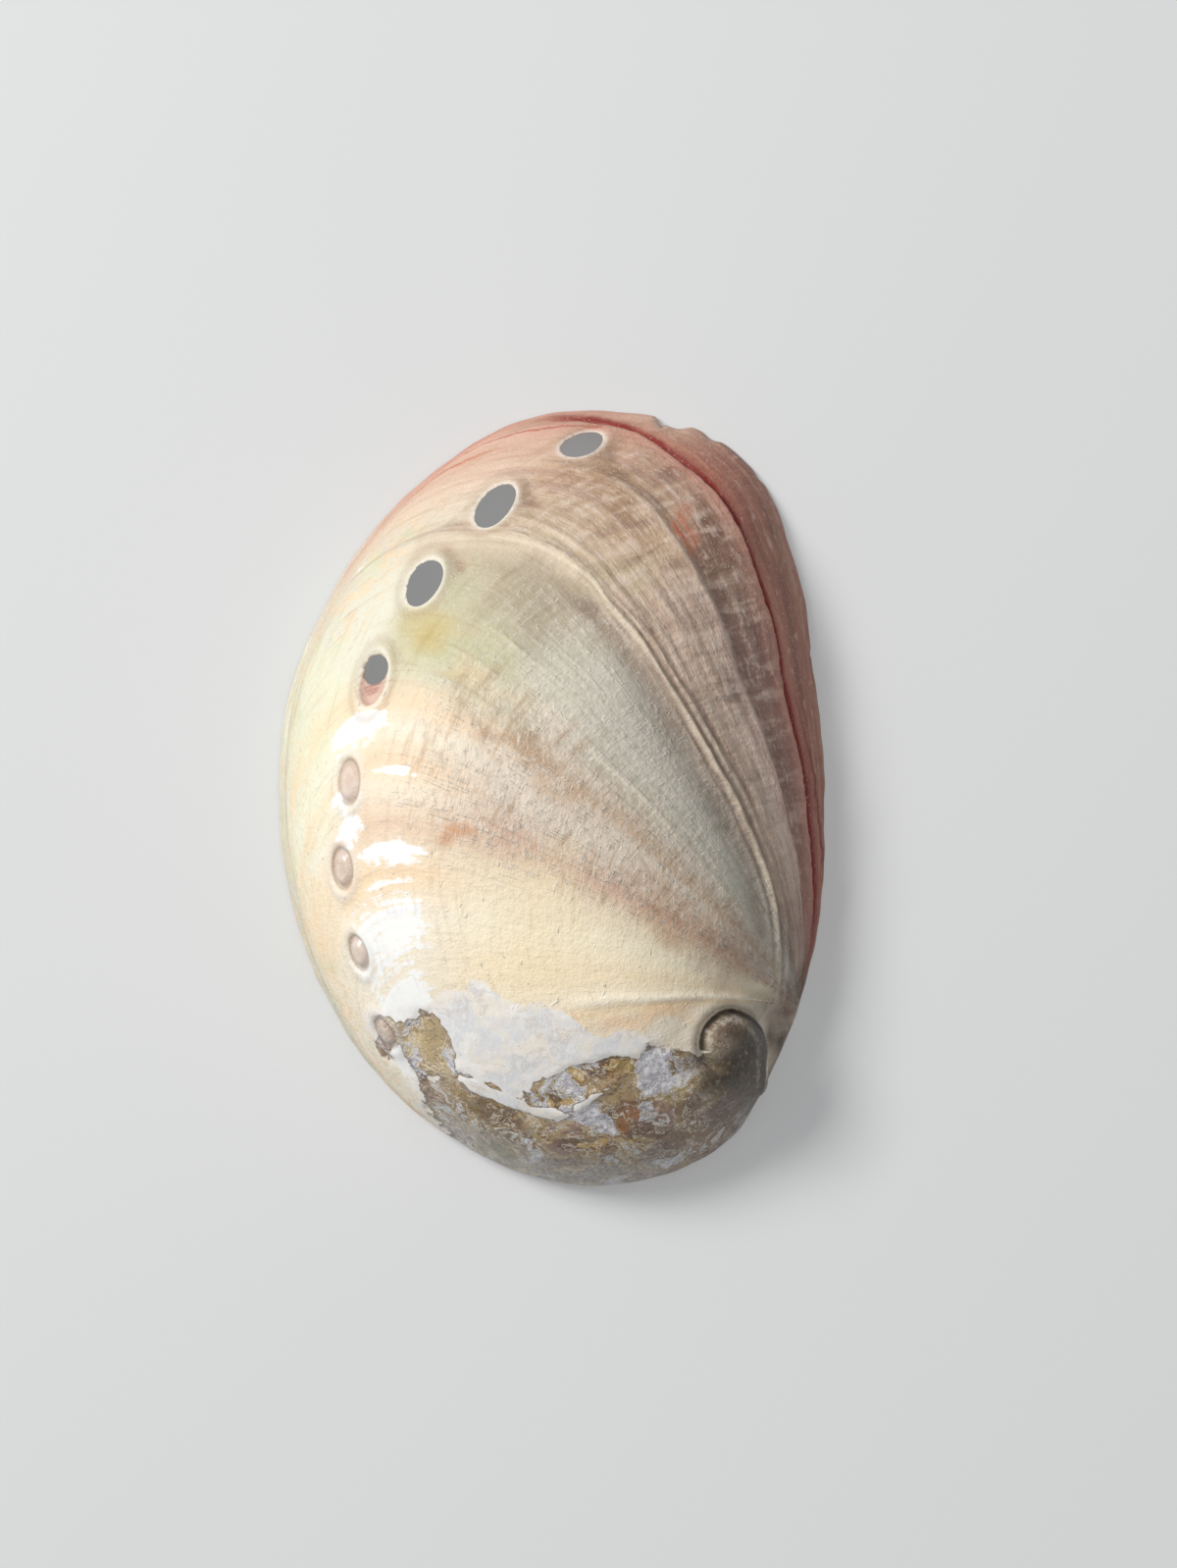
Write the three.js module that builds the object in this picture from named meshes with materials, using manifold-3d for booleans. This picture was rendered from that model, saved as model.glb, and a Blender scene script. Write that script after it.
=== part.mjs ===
// Abalone shell: one naturally grown piece, a low ear-shaped dome with a small coil
// at its back right and a curved row of breathing pores along its left shoulder.
// Millimetres, +Z up. The margin lies on z = 0 and the hollow faces down.
import * as THREE from 'three';
import { mergeVertices } from 'three/addons/utils/BufferGeometryUtils.js';
import Module from 'manifold-3d';

// Driving sizes.
const SHELL_HEIGHT = 25.0;       // crown above the resting plane
const WALL = 1.5;                // thickness of the shell at the crown
const SIDE_WALL = 1.3;           // how far the hollow is drawn in above the ledge
const CROWN = [-2.5, -2.0];      // plan position of the highest point
const COIL_WALL = 1.3;           // thickness of the coil's wall
const LEDGE_THICK = 1.8;         // thickness of the ledge under the coil's pocket

// Mesh density: points round the margin and rows from crown to margin.
const ROUND_COUNT = 92;
const CROWN_ROWS = 8;
const BETWEEN_ROWS = 5;
const HOLLOW_ROWS = 11;

// The margin seen from above, clockwise from the front tip: left flank, rounded back,
// the coil's bulge at the back right, then the thin outer lip round to the front.
const MARGIN = [
  [5.4, 45.1], [-0.3, 44.8], [-4.9, 43.5], [-12.9, 38.7], [-19.8, 32.4], [-26.6, 22.1],
  [-30.1, 14.1], [-31.7, 5.0], [-31.8, -1.9], [-30.3, -12.2], [-26.6, -22.5], [-22.6, -29.3],
  [-17.5, -35.1], [-10.6, -40.2], [-2.6, -43.9], [5.4, -45.1], [14.5, -43.3], [20.8, -39.6],
  [24.0, -34.8], [25.2, -32.4], [27.1, -28.4], [30.0, -19.6], [31.6, -9.0], [31.7, 0.0],
  [30.5, 14.1], [28.8, 25.6], [26.0, 34.1], [24.2, 37.2], [22.0, 39.7], [19.5, 41.6],
  [17.0, 42.9], [14.2, 43.9], [11.4, 44.6], [8.8, 44.9],
];

// The chip in the front of the new lip: compass direction and half width in degrees,
// depth at the edge, and the share of the way out at which it starts.
const CHIP = { toward: 70.5, wide: 3.2, deep: 1.2, from: 0.95 };

// How the dome falls from crown to margin, by compass direction in degrees from +X:
// a full shoulder and steep flank on the pore side, an easy slope on the lip side.
const FLANKS = [
  { toward: 0, fullness: 2.45, drop: 0.86 },
  { toward: 45, fullness: 2.35, drop: 0.83 },
  { toward: 90, fullness: 2.20, drop: 0.76 },
  { toward: 135, fullness: 2.35, drop: 0.64 },
  { toward: 180, fullness: 2.50, drop: 0.57 },
  { toward: 225, fullness: 2.60, drop: 0.56 },
  { toward: 265, fullness: 2.75, drop: 0.54 },
  { toward: 300, fullness: 2.90, drop: 0.54 },
  { toward: 325, fullness: 2.65, drop: 0.66 },
  { toward: 342, fullness: 2.50, drop: 0.80 },
];

// Width of the flat underside of the margin by direction: thin at the outer lip,
// broad at the inner ledge on the pore side and under the coil.
const LEDGE = [
  { toward: 0, wide: 1.2 },
  { toward: 90, wide: 1.2 },
  { toward: 112, wide: 2.2 },
  { toward: 140, wide: 4.6 },
  { toward: 180, wide: 5.4 },
  { toward: 225, wide: 5.2 },
  { toward: 265, wide: 4.4 },
  { toward: 290, wide: 6.5 },
  { toward: 308, wide: 8.5 },
  { toward: 322, wide: 3.6 },
  { toward: 338, wide: 1.3 },
  { toward: 360, wide: 1.2 },
];

// The strong old growth ridge: where it crosses each direction, as the share of the
// way from crown to margin, and how high it stands.
const OLD_RIDGE = [
  { toward: -60, share: 0.93, high: 0 },
  { toward: -42, share: 0.93, high: 0 },
  { toward: -31, share: 0.88, high: 0.5 },
  { toward: -20, share: 0.82, high: 0.9 },
  { toward: -9, share: 0.75, high: 1.1 },
  { toward: 2, share: 0.685, high: 1.1 },
  { toward: 16, share: 0.61, high: 1.1 },
  { toward: 31, share: 0.55, high: 1.1 },
  { toward: 43, share: 0.505, high: 1.1 },
  { toward: 57, share: 0.485, high: 1.0 },
  { toward: 68, share: 0.51, high: 1.0 },
  { toward: 76, share: 0.57, high: 0.9 },
  { toward: 88, share: 0.65, high: 0.8 },
  { toward: 98, share: 0.72, high: 0.7 },
  { toward: 110, share: 0.82, high: 0.5 },
  { toward: 122, share: 0.88, high: 0 },
  { toward: 180, share: 0.78, high: 0 },
  { toward: 240, share: 0.80, high: 0 },
  { toward: 300, share: 0.93, high: 0 },
];

// The step where the newest band of shell comes out from under the older edge.
const NEW_STEP = [
  { toward: -60, share: 0.975, high: 0 },
  { toward: -35, share: 0.975, high: 0 },
  { toward: -19, share: 0.96, high: 0.4 },
  { toward: -4, share: 0.93, high: 0.8 },
  { toward: 7, share: 0.91, high: 0.9 },
  { toward: 17, share: 0.885, high: 1.0 },
  { toward: 27, share: 0.87, high: 1.0 },
  { toward: 50, share: 0.855, high: 1.0 },
  { toward: 62, share: 0.88, high: 0.9 },
  { toward: 68, share: 0.90, high: 0.9 },
  { toward: 75, share: 0.94, high: 0.7 },
  { toward: 84, share: 0.965, high: 0.4 },
  { toward: 100, share: 0.975, high: 0 },
  { toward: 300, share: 0.975, high: 0 },
];

// Breathing pores from the newest at the front to the oldest. Each is an ellipse seen
// from above: centre, half length, half width and turn of the long axis from +X.
const OPEN_PORES = [
  { at: [3.5, 40.7], half: [2.5, 1.3], turn: 17 },
  { at: [-6.4, 33.4], half: [2.9, 1.7], turn: 47 },
  { at: [-14.4, 24.5], half: [2.8, 1.75], turn: 60 },
];
const HALF_PORE = {
  at: [-20.1, 13.4], half: [3.2, 1.55], turn: 75,
  hole: { at: [-19.8, 14.6], half: [1.7, 1.3], turn: 75 },
  dish_depth: 0.7,
};
const CLOSED_PORES = [
  { at: [-22.8, 1.9], half: [2.6, 1.3], turn: 88 },
  { at: [-23.6, -7.9], half: [2.4, 1.25], turn: 95 },
  { at: [-21.8, -17.5], half: [2.1, 1.05], turn: 108 },
  { at: [-18.9, -26.7], half: [2.0, 0.9], turn: 120 },
];

// The coil: a tapering tube curling up and round to the shell's first-grown tip.
const COIL = [
  { at: [-8.0, -24.0, 5.6], radius: 8.0 },
  { at: [0.0, -31.5, 5.2], radius: 8.8 },
  { at: [10.0, -33.8, 5.4], radius: 8.3 },
  { at: [16.8, -32.6, 7.2], radius: 7.1 },
  { at: [19.6, -30.0, 9.9], radius: 5.3 },
  { at: [19.9, -28.2, 11.6], radius: 4.4 },
  { at: [18.8, -27.6, 12.7], radius: 3.5 },
  { at: [18.0, -28.6, 13.5], radius: 2.6 },
];
const COIL_SIDES = 20;
const COIL_STEPS = 22;

const TAU = Math.PI * 2;
const wasm = await Module();
wasm.setup();

const marginCurve = new THREE.CatmullRomCurve3(
  MARGIN.map(([x, y]) => new THREE.Vector3(x, y, 0)),
  true,
  'centripetal',
);

// Reads a named column of a table at a direction in degrees, on a smooth closed curve
// through its rows.
function tableAt(table, direction, column) {
  const count = table.length;
  const row = (i) => {
    const round = Math.floor(i / count);
    const entry = table[i - round * count];
    return { toward: entry.toward + 360 * round, value: entry[column] };
  };
  const slope = (i) => {
    const before = row(i - 1);
    const after = row(i + 1);
    return (after.value - before.value) / (after.toward - before.toward);
  };
  const turned = direction - table[0].toward;
  const angle = direction - 360 * Math.floor(turned / 360);
  let i = 0;
  while (row(i + 1).toward <= angle) i += 1;
  const here = row(i);
  const next = row(i + 1);
  const span = next.toward - here.toward;
  const t = (angle - here.toward) / span;
  const rise = (3 - 2 * t) * t * t;
  const leave = slope(i) * span * t * (1 - t) * (1 - t);
  const arrive = slope(i + 1) * span * t * t * (1 - t);
  return here.value + (next.value - here.value) * rise + leave - arrive;
}

// Everything the surface needs to know about one place on the margin.
function marginPlace(turn) {
  const edge = marginCurve.getPointAt(((turn % 1) + 1) % 1);
  const dx = edge.x - CROWN[0];
  const dy = edge.y - CROWN[1];
  return {
    dx,
    dy,
    reach: Math.hypot(dx, dy),
    direction: THREE.MathUtils.radToDeg(Math.atan2(dy, dx)),
  };
}

// How far the chip cuts the edge back at one place: nothing inside its starting share.
function chipAt(place, share) {
  const off = (place.direction - CHIP.toward) / CHIP.wide;
  const near = Math.max(share - CHIP.from, 0) / (1 - CHIP.from);
  return CHIP.deep * near * Math.exp(-off * off);
}

// A point of the smooth dome: share 0 is the crown and 1 the margin.
function domePoint(place, share, height, reach) {
  const fullness = tableAt(FLANKS, place.direction, 'fullness');
  const drop = tableAt(FLANKS, place.direction, 'drop');
  const fall = Math.max(1 - Math.pow(Math.min(share, 1), fullness), 0);
  const plan = (share * reach - chipAt(place, share)) / place.reach;
  return new THREE.Vector3(
    CROWN[0] + place.dx * plan,
    CROWN[1] + place.dy * plan,
    height * Math.pow(fall, drop),
  );
}

// The dome's outward direction, from two short steps along it.
function domeNormal(turn, share) {
  const middle = Math.min(Math.max(share, 0.02), 0.985);
  const rim = (t) => marginPlace(t);
  const a = domePoint(rim(turn), middle - 0.01, SHELL_HEIGHT, rim(turn).reach);
  const b = domePoint(rim(turn), middle + 0.01, SHELL_HEIGHT, rim(turn).reach);
  const c = domePoint(rim(turn - 0.004), middle, SHELL_HEIGHT, rim(turn - 0.004).reach);
  const d = domePoint(rim(turn + 0.004), middle, SHELL_HEIGHT, rim(turn + 0.004).reach);
  const normal = b.sub(a).cross(d.sub(c)).normalize();
  return normal.z < 0 ? normal.negate() : normal;
}

// The rows of one direction from crown to margin, each with its share and its lift.
// Rows gather at the old ridge and at the new step so both stay crisp.
function rowsAt(place) {
  const mm = 1 / place.reach;
  const ridge = tableAt(OLD_RIDGE, place.direction, 'share');
  const ridgeHigh = tableAt(OLD_RIDGE, place.direction, 'high');
  const step = tableAt(NEW_STEP, place.direction, 'share');
  const stepHigh = tableAt(NEW_STEP, place.direction, 'high');
  const stepTop = Math.min(step, 1 - 1.2 * mm);
  const ridgeTop = Math.min(ridge, stepTop - 4.2 * mm);
  const rows = [];
  const inner = ridgeTop - 2.4 * mm;
  for (let i = 1; i <= CROWN_ROWS; i += 1) {
    rows.push([inner * (i / CROWN_ROWS), 0]);
  }
  rows.push([ridgeTop - 0.8 * mm, ridgeHigh * 0.7]);
  rows.push([ridgeTop, ridgeHigh]);
  rows.push([ridgeTop + 0.8 * mm, ridgeHigh * 0.15]);
  const from = ridgeTop + 0.8 * mm;
  const to = stepTop - 1.8 * mm;
  for (let i = 1; i <= BETWEEN_ROWS; i += 1) {
    const part = i / BETWEEN_ROWS;
    const swell = Math.sin(Math.PI * part) * 0.35 * (ridgeHigh > 0 ? 1 : 0);
    rows.push([from + (to - from) * part, swell * ridgeHigh + stepHigh * 0.3 * part]);
  }
  rows.push([stepTop - 0.6 * mm, stepHigh * 0.8]);
  rows.push([stepTop, stepHigh * 0.9]);
  rows.push([stepTop + 0.45 * mm, stepHigh * 0.05]);
  rows.push([1, 0]);
  return rows;
}

// A solid from rings of points that share one length, with a top and a bottom point.
function solidFromRings(rings, topPoint, bottomPoint) {
  const count = rings[0].length;
  const positions = [topPoint, ...rings.flat(), bottomPoint].flatMap((p) => [p.x, p.y, p.z]);
  const last = 1 + rings.length * count;
  const faces = [];
  for (let j = 0; j < count; j += 1) {
    const k = (j + 1) % count;
    faces.push(0, 1 + j, 1 + k);
    for (let i = 0; i + 1 < rings.length; i += 1) {
      const here = 1 + i * count;
      const next = here + count;
      faces.push(here + j, next + j, next + k, here + j, next + k, here + k);
    }
    const tail = 1 + (rings.length - 1) * count;
    faces.push(last, tail + k, tail + j);
  }
  const geometry = new THREE.BufferGeometry();
  geometry.setAttribute('position', new THREE.Float32BufferAttribute(positions, 3));
  geometry.setIndex(faces);
  return geometry;
}

function toManifold(source) {
  const bare = source.clone();
  bare.deleteAttribute('normal');
  bare.deleteAttribute('uv');
  const welded = mergeVertices(bare, 1e-4);
  return new wasm.Manifold(
    new wasm.Mesh({
      numProp: 3,
      vertProperties: new Float32Array(welded.attributes.position.array),
      triVerts: new Uint32Array(welded.index.array),
    }),
  );
}

function toGeometry(manifold) {
  const mesh = manifold.getMesh();
  const geometry = new THREE.BufferGeometry();
  const points = new Float32Array(mesh.vertProperties);
  geometry.setAttribute('position', new THREE.BufferAttribute(points, 3));
  geometry.setIndex(new THREE.BufferAttribute(new Uint32Array(mesh.triVerts), 1));
  return geometry;
}

// The outside of the dome as a solid standing on the resting plane. Turns run
// backwards so that the rings go counter-clockwise.
function outerDome() {
  const places = [];
  for (let j = 0; j < ROUND_COUNT; j += 1) {
    places.push(j / ROUND_COUNT);
  }
  const columns = places.map((turn) => {
    const place = marginPlace(turn);
    return rowsAt(place).map(([share, lift]) => {
      const point = domePoint(place, share, SHELL_HEIGHT, place.reach);
      return share < 1 ? point.addScaledVector(domeNormal(turn, share), lift) : point;
    });
  });
  const rings = columns[0].map((_, i) => columns.map((column) => column[i]));
  const top = new THREE.Vector3(CROWN[0], CROWN[1], SHELL_HEIGHT);
  return solidFromRings(rings, top, new THREE.Vector3(CROWN[0], CROWN[1], 0));
}

// The hollow: the same dome lowered by the wall and drawn in, by more at the ledge,
// with a short skirt below the resting plane so that it opens cleanly.
function hollowDome() {
  const rings = [];
  const places = [];
  for (let j = 0; j < ROUND_COUNT; j += 1) {
    places.push(marginPlace(j / ROUND_COUNT));
  }
  for (let i = 1; i <= HOLLOW_ROWS; i += 1) {
    const share = Math.sin((i / HOLLOW_ROWS) * (Math.PI / 2));
    rings.push(places.map((place) => {
      const ledge = tableAt(LEDGE, place.direction, 'wide');
      const drawnIn = SIDE_WALL + (ledge - SIDE_WALL) * Math.pow(share, 8);
      return domePoint(place, share, SHELL_HEIGHT - WALL, place.reach - drawnIn);
    }));
  }
  rings.push(rings[rings.length - 1].map((p) => new THREE.Vector3(p.x, p.y, -2)));
  const top = new THREE.Vector3(CROWN[0], CROWN[1], SHELL_HEIGHT - WALL);
  return solidFromRings(rings, top, new THREE.Vector3(CROWN[0], CROWN[1], -2));
}

// The coil's tube, thinner by the given wall and stopping short of the tip if hollow.
function coilTube(wall, reachShare) {
  const path = new THREE.CatmullRomCurve3(COIL.map(({ at }) => new THREE.Vector3(...at)));
  const radii = new THREE.SplineCurve(
    COIL.map(({ radius }, i) => new THREE.Vector2(i / (COIL.length - 1), radius)),
  );
  const rings = [];
  for (let i = 0; i <= COIL_STEPS; i += 1) {
    const along = (i / COIL_STEPS) * reachShare;
    const centre = path.getPoint(along);
    const tangent = path.getTangent(along);
    const side = new THREE.Vector3(0, 0, 1).cross(tangent).normalize();
    const up = tangent.clone().cross(side).normalize();
    const radius = Math.max(radii.getPoint(along).y - wall, 0.3);
    const ring = [];
    for (let j = 0; j < COIL_SIDES; j += 1) {
      const angle = (j / COIL_SIDES) * TAU;
      ring.push(
        centre.clone()
          .addScaledVector(side, Math.cos(angle) * radius)
          .addScaledVector(up, Math.sin(angle) * radius),
      );
    }
    rings.push(ring);
  }
  const tipTangent = path.getTangent(reachShare);
  const tipRadius = Math.max(radii.getPoint(reachShare).y - wall, 0.3);
  const tip = path.getPoint(reachShare).addScaledVector(tipTangent, tipRadius * 0.6);
  return solidFromRings(rings.reverse(), tip, path.getPoint(0));
}

// The dome's height and slope over a plan position, found by walking the margin for
// the place that lies in the same direction from the crown.
function placeOver(x, y) {
  const dx = x - CROWN[0];
  const dy = y - CROWN[1];
  const wanted = Math.atan2(dy, dx);
  let best = { gap: Infinity, turn: 0 };
  for (let i = 0; i < 1440; i += 1) {
    const turn = i / 1440;
    const place = marginPlace(turn);
    const gap = Math.abs(Math.atan2(
      Math.sin(Math.atan2(place.dy, place.dx) - wanted),
      Math.cos(Math.atan2(place.dy, place.dx) - wanted),
    ));
    if (gap < best.gap) best = { gap, turn, place };
  }
  const share = Math.hypot(dx, dy) / best.place.reach;
  return {
    point: domePoint(best.place, share, SHELL_HEIGHT, best.place.reach),
    normal: domeNormal(best.turn, share),
  };
}

// A raised collar or plug turned from a profile of [share of the pore, height], set
// square to the dome at the pore and stretched to the pore's ellipse.
function poreTurning(pore, profile) {
  const { point, normal } = placeOver(pore.at[0], pore.at[1]);
  const outline = profile.map(([share, high]) => new THREE.Vector2(share, high));
  const turned = new THREE.LatheGeometry(outline, 22);
  turned.rotateX(Math.PI / 2);
  turned.scale(pore.half[0], pore.half[1], 1);
  turned.rotateZ(THREE.MathUtils.degToRad(pore.turn));
  const tilt = new THREE.Quaternion().setFromUnitVectors(new THREE.Vector3(0, 0, 1), normal);
  turned.applyQuaternion(tilt);
  turned.translate(point.x, point.y, point.z);
  return toManifold(turned);
}

// An upright elliptical cutter over a pore, from `low` above the resting plane up.
function poreCutter(pore, low) {
  const cutter = new THREE.CylinderGeometry(1, 1, 40, 22);
  cutter.rotateX(Math.PI / 2);
  cutter.scale(pore.half[0], pore.half[1], 1);
  cutter.rotateZ(THREE.MathUtils.degToRad(pore.turn));
  cutter.translate(pore.at[0], pore.at[1], low + 20);
  return toManifold(cutter);
}

const COLLAR = [[0, -1.0], [2.0, -1.0], [1.8, -0.2], [1.5, 0.18], [1.18, 0.35], [0, 0.35]];
const PLUG = [
  [0, -1.0], [1.8, -1.0], [1.6, -0.15], [1.28, 0.15], [1.04, 0.15],
  [0.9, 0.0], [0.6, 0.3], [0, 0.42],
];

const aboveRest = new THREE.BoxGeometry(120, 120, 60);
aboveRest.translate(0, 0, 30);

const aboveLedge = aboveRest.clone();
aboveLedge.translate(0, 0, LEDGE_THICK);

let body = toManifold(outerDome());
body = body.add(toManifold(coilTube(0, 1)).intersect(toManifold(aboveRest)));
for (const pore of [...OPEN_PORES, HALF_PORE]) {
  body = body.add(poreTurning(pore, COLLAR));
}
for (const pore of CLOSED_PORES) {
  body = body.add(poreTurning(pore, PLUG));
}
const halfPoreTop = placeOver(HALF_PORE.at[0], HALF_PORE.at[1]).point.z;
body = body.subtract(poreCutter(HALF_PORE, halfPoreTop - HALF_PORE.dish_depth));
body = body.subtract(toManifold(hollowDome()));
body = body.subtract(toManifold(coilTube(COIL_WALL, 0.8)).intersect(toManifold(aboveLedge)));
for (const pore of [...OPEN_PORES, HALF_PORE.hole]) {
  body = body.subtract(poreCutter(pore, 1));
}

const nacre = new THREE.MeshStandardMaterial({
  color: new THREE.Color(0xcdc0a6),
  roughness: 0.55,
  metalness: 0.0,
});
const shape = toGeometry(body);
shape.computeBoundingBox();
const middle = shape.boundingBox.getCenter(new THREE.Vector3());
shape.translate(-middle.x, -middle.y, -shape.boundingBox.min.z);
const shell = new THREE.Mesh(shape, nacre);
shell.name = 'shell';

const part = new THREE.Group();
part.name = 'abalone_shell';
part.add(shell);

export default part;
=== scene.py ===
import math

import bpy
import numpy as np
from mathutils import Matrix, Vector


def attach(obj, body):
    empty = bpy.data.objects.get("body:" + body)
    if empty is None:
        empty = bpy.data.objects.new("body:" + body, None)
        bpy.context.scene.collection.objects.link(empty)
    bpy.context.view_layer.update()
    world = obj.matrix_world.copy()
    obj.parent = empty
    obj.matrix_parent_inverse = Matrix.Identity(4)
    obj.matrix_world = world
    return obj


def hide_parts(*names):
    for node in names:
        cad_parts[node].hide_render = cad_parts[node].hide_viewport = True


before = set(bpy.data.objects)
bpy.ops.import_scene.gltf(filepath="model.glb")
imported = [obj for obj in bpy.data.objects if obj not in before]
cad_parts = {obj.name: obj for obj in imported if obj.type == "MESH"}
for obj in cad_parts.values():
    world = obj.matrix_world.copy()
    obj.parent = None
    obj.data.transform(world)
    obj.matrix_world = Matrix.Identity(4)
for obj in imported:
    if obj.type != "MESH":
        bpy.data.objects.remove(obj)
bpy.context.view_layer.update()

# ------------------------------------------------------------------ the shell's form
# One piece, grown by the animal at its margin: a low dome that leaves a small coil
# behind at the back right. Sizes here are in millimetres, as a sheller measures.
HEIGHT = 25.0
WALL = 1.5
SIDE_WALL = 1.3
EDGE_ROUND = 0.5
CROWN = (-2.5, -2.0)

# The outline from above, going round from the front past the pores and the coil.
MARGIN = [
    (5.4, 45.1), (-0.3, 44.8), (-4.9, 43.5), (-12.9, 38.7), (-19.8, 32.4), (-26.6, 22.1),
    (-30.1, 14.1), (-31.7, 5.0), (-31.8, -1.9), (-30.3, -12.2), (-26.6, -22.5), (-22.6, -29.3),
    (-17.5, -35.1), (-10.6, -40.2), (-2.6, -43.9), (5.4, -45.1), (14.5, -43.3), (20.8, -39.6),
    (24.0, -34.9), (25.3, -32.4), (27.1, -28.4), (30.0, -19.6), (31.6, -9.0), (31.7, 0.0),
    (30.5, 14.1), (28.8, 25.6), (27.4, 30.1), (26.0, 34.1), (24.2, 37.2), (22.0, 39.7),
    (19.5, 41.6), (17.0, 42.9), (14.2, 43.9), (11.4, 44.6), (8.8, 44.9),
]

# Small breaks in the edge of the new lip: direction, width in degrees, depth. The rest
# of the edge is only slightly rough.
CHIPS = [(71.4, 0.7, 1.0), (69.6, 1.6, 0.8), (64.4, 1.1, 0.35), (56.0, 0.8, 0.2), (30.0, 0.6, 0.15)]
EDGE_ROUGHNESS = 0.06

# Direction from the crown, fullness of the shoulder, steepness of the last drop.
FLANKS = [
    (0, 2.45, 0.86), (45, 2.35, 0.83), (90, 2.20, 0.76), (135, 2.35, 0.64), (180, 2.50, 0.57),
    (225, 2.60, 0.56), (265, 2.75, 0.54), (300, 2.90, 0.54), (325, 2.65, 0.66), (342, 2.50, 0.80),
]

# Direction, width of the underside: a thin lip, and a broad inner ledge by the pores.
LEDGE = [
    (0, 1.2), (90, 1.2), (112, 2.2), (140, 4.6), (180, 5.4), (225, 5.2), (265, 4.4),
    (290, 6.5), (308, 8.5), (322, 3.6), (338, 1.3),
]

# Direction, share of the way from crown to margin, height: the strong old growth ridge.
OLD_RIDGE = [
    (-60, 0.93, 0.0), (-42, 0.93, 0.0), (-31, 0.88, 0.5), (-20, 0.82, 0.8), (-9, 0.75, 1.0),
    (2, 0.685, 1.0), (16, 0.61, 1.0), (31, 0.55, 1.0), (43, 0.505, 1.0), (57, 0.485, 1.0),
    (68, 0.51, 1.0), (76, 0.57, 0.9), (88, 0.65, 0.8), (98, 0.72, 0.7), (110, 0.82, 0.5),
    (122, 0.88, 0.0), (180, 0.78, 0.0), (240, 0.80, 0.0),
]

# The same for the step where the newest band comes out from under the older edge.
NEW_STEP = [
    (-60, 0.975, 0.0), (-35, 0.975, 0.0), (-19, 0.96, 0.4), (-4, 0.93, 0.8), (7, 0.91, 0.9),
    (17, 0.885, 1.0), (27, 0.87, 1.0), (50, 0.855, 1.0), (62, 0.88, 0.9), (68, 0.90, 0.9),
    (75, 0.94, 0.7), (84, 0.965, 0.4), (100, 0.975, 0.0), (240, 0.975, 0.0),
]

# Breathing pores, newest first: centre, half length, half width, turn of the long axis.
OPEN_PORES = [(3.5, 40.7, 2.5, 1.3, 17), (-6.4, 33.4, 2.9, 1.7, 47), (-14.4, 24.5, 2.8, 1.75, 60)]
HALF_PORE = (-20.1, 13.4, 3.2, 1.55, 75)
HALF_PORE_HOLE = (-19.8, 14.6, 1.75, 1.3, 75)
CLOSED_PORES = [
    (-22.8, 1.9, 2.6, 1.25, 88), (-23.6, -7.9, 2.4, 1.2, 95),
    (-21.8, -17.5, 2.1, 1.0, 108), (-18.9, -26.7, 2.0, 0.9, 120),
]

# The coil: centre of its turn, then direction and distance of the groove round it.
COIL_CENTRE = (20.3, -28.8)
COIL_GROOVE = [
    (-60, 6.5), (-37, 5.1), (-17, 4.3), (34, 4.3), (66, 4.5), (95, 4.7), (133, 4.1),
    (157, 3.6), (179, 3.2), (200, 2.9), (222, 2.7), (260, 5.0),
]
COIL_RISE = 2.0
COIL_ROUNDING = 3.0
COIL_BEAD = 0.25
GROOVE_DEPTH = 1.0
LIP_SINK = 1.7

# Heights of the raised collars about the pores and depths of their sunk floors.
COLLAR_RISE = 0.42
COLLAR_SWELL = 0.25
DIMPLE_DEPTH = 0.45
HALF_PORE_DEPTH = 1.0
PLUG_COLLAR = 0.28
PLUG_GROOVE = 0.35
PLUG_RISE = 0.4


def round_table(rows, direction):
    """A smooth closed curve through rows of direction and values, read at directions."""
    table = np.array(sorted(rows), float)
    count = len(table)
    turn = np.concatenate([table[-1:, 0] - 360, table[:, 0], table[:2, 0] + 360])
    value = np.concatenate([table[-1:, 1:], table[:, 1:], table[:2, 1:]])
    slope = (value[2:] - value[:-2]) / (turn[2:] - turn[:-2])[:, None]
    at = (np.asarray(direction, float) - turn[1]) % 360 + turn[1]
    i = np.clip(np.searchsorted(turn, at, side="right") - 1, 1, count)
    span = (turn[i + 1] - turn[i])[..., None]
    t = (at - turn[i])[..., None] / span
    rise = t * t * (3 - 2 * t)
    leave = slope[i - 1] * span * t * (1 - t) ** 2
    arrive = slope[i] * span * t * t * (1 - t)
    answer = value[i] + (value[i + 1] - value[i]) * rise + leave - arrive
    return answer[..., 0] if answer.shape[-1] == 1 else np.moveaxis(answer, -1, 0)


def ease(x, low, high):
    """Zero below low, one above high, and smooth between."""
    t = np.clip((x - low) / (high - low), 0, 1)
    return t * t * (3 - 2 * t)


def from_crown(x, y):
    """Direction in degrees and distance of a place from the crown, seen from above."""
    dx, dy = x - CROWN[0], y - CROWN[1]
    return math.degrees(math.atan2(dy, dx)) % 360, math.hypot(dx, dy)


MARGIN_TABLE = [from_crown(x, y) for x, y in MARGIN]


def dome(direction, share, reach, top, foot):
    """Points of the dome for a direction and a share of the way to the margin."""
    fullness, drop = round_table(FLANKS, direction)
    height = foot + (top - foot) * np.clip(1 - share**fullness, 0, 1) ** drop
    turn = np.radians(direction)
    return np.stack([
        CROWN[0] + np.cos(turn) * share * reach,
        CROWN[1] + np.sin(turn) * share * reach,
        height,
    ], -1)


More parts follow.
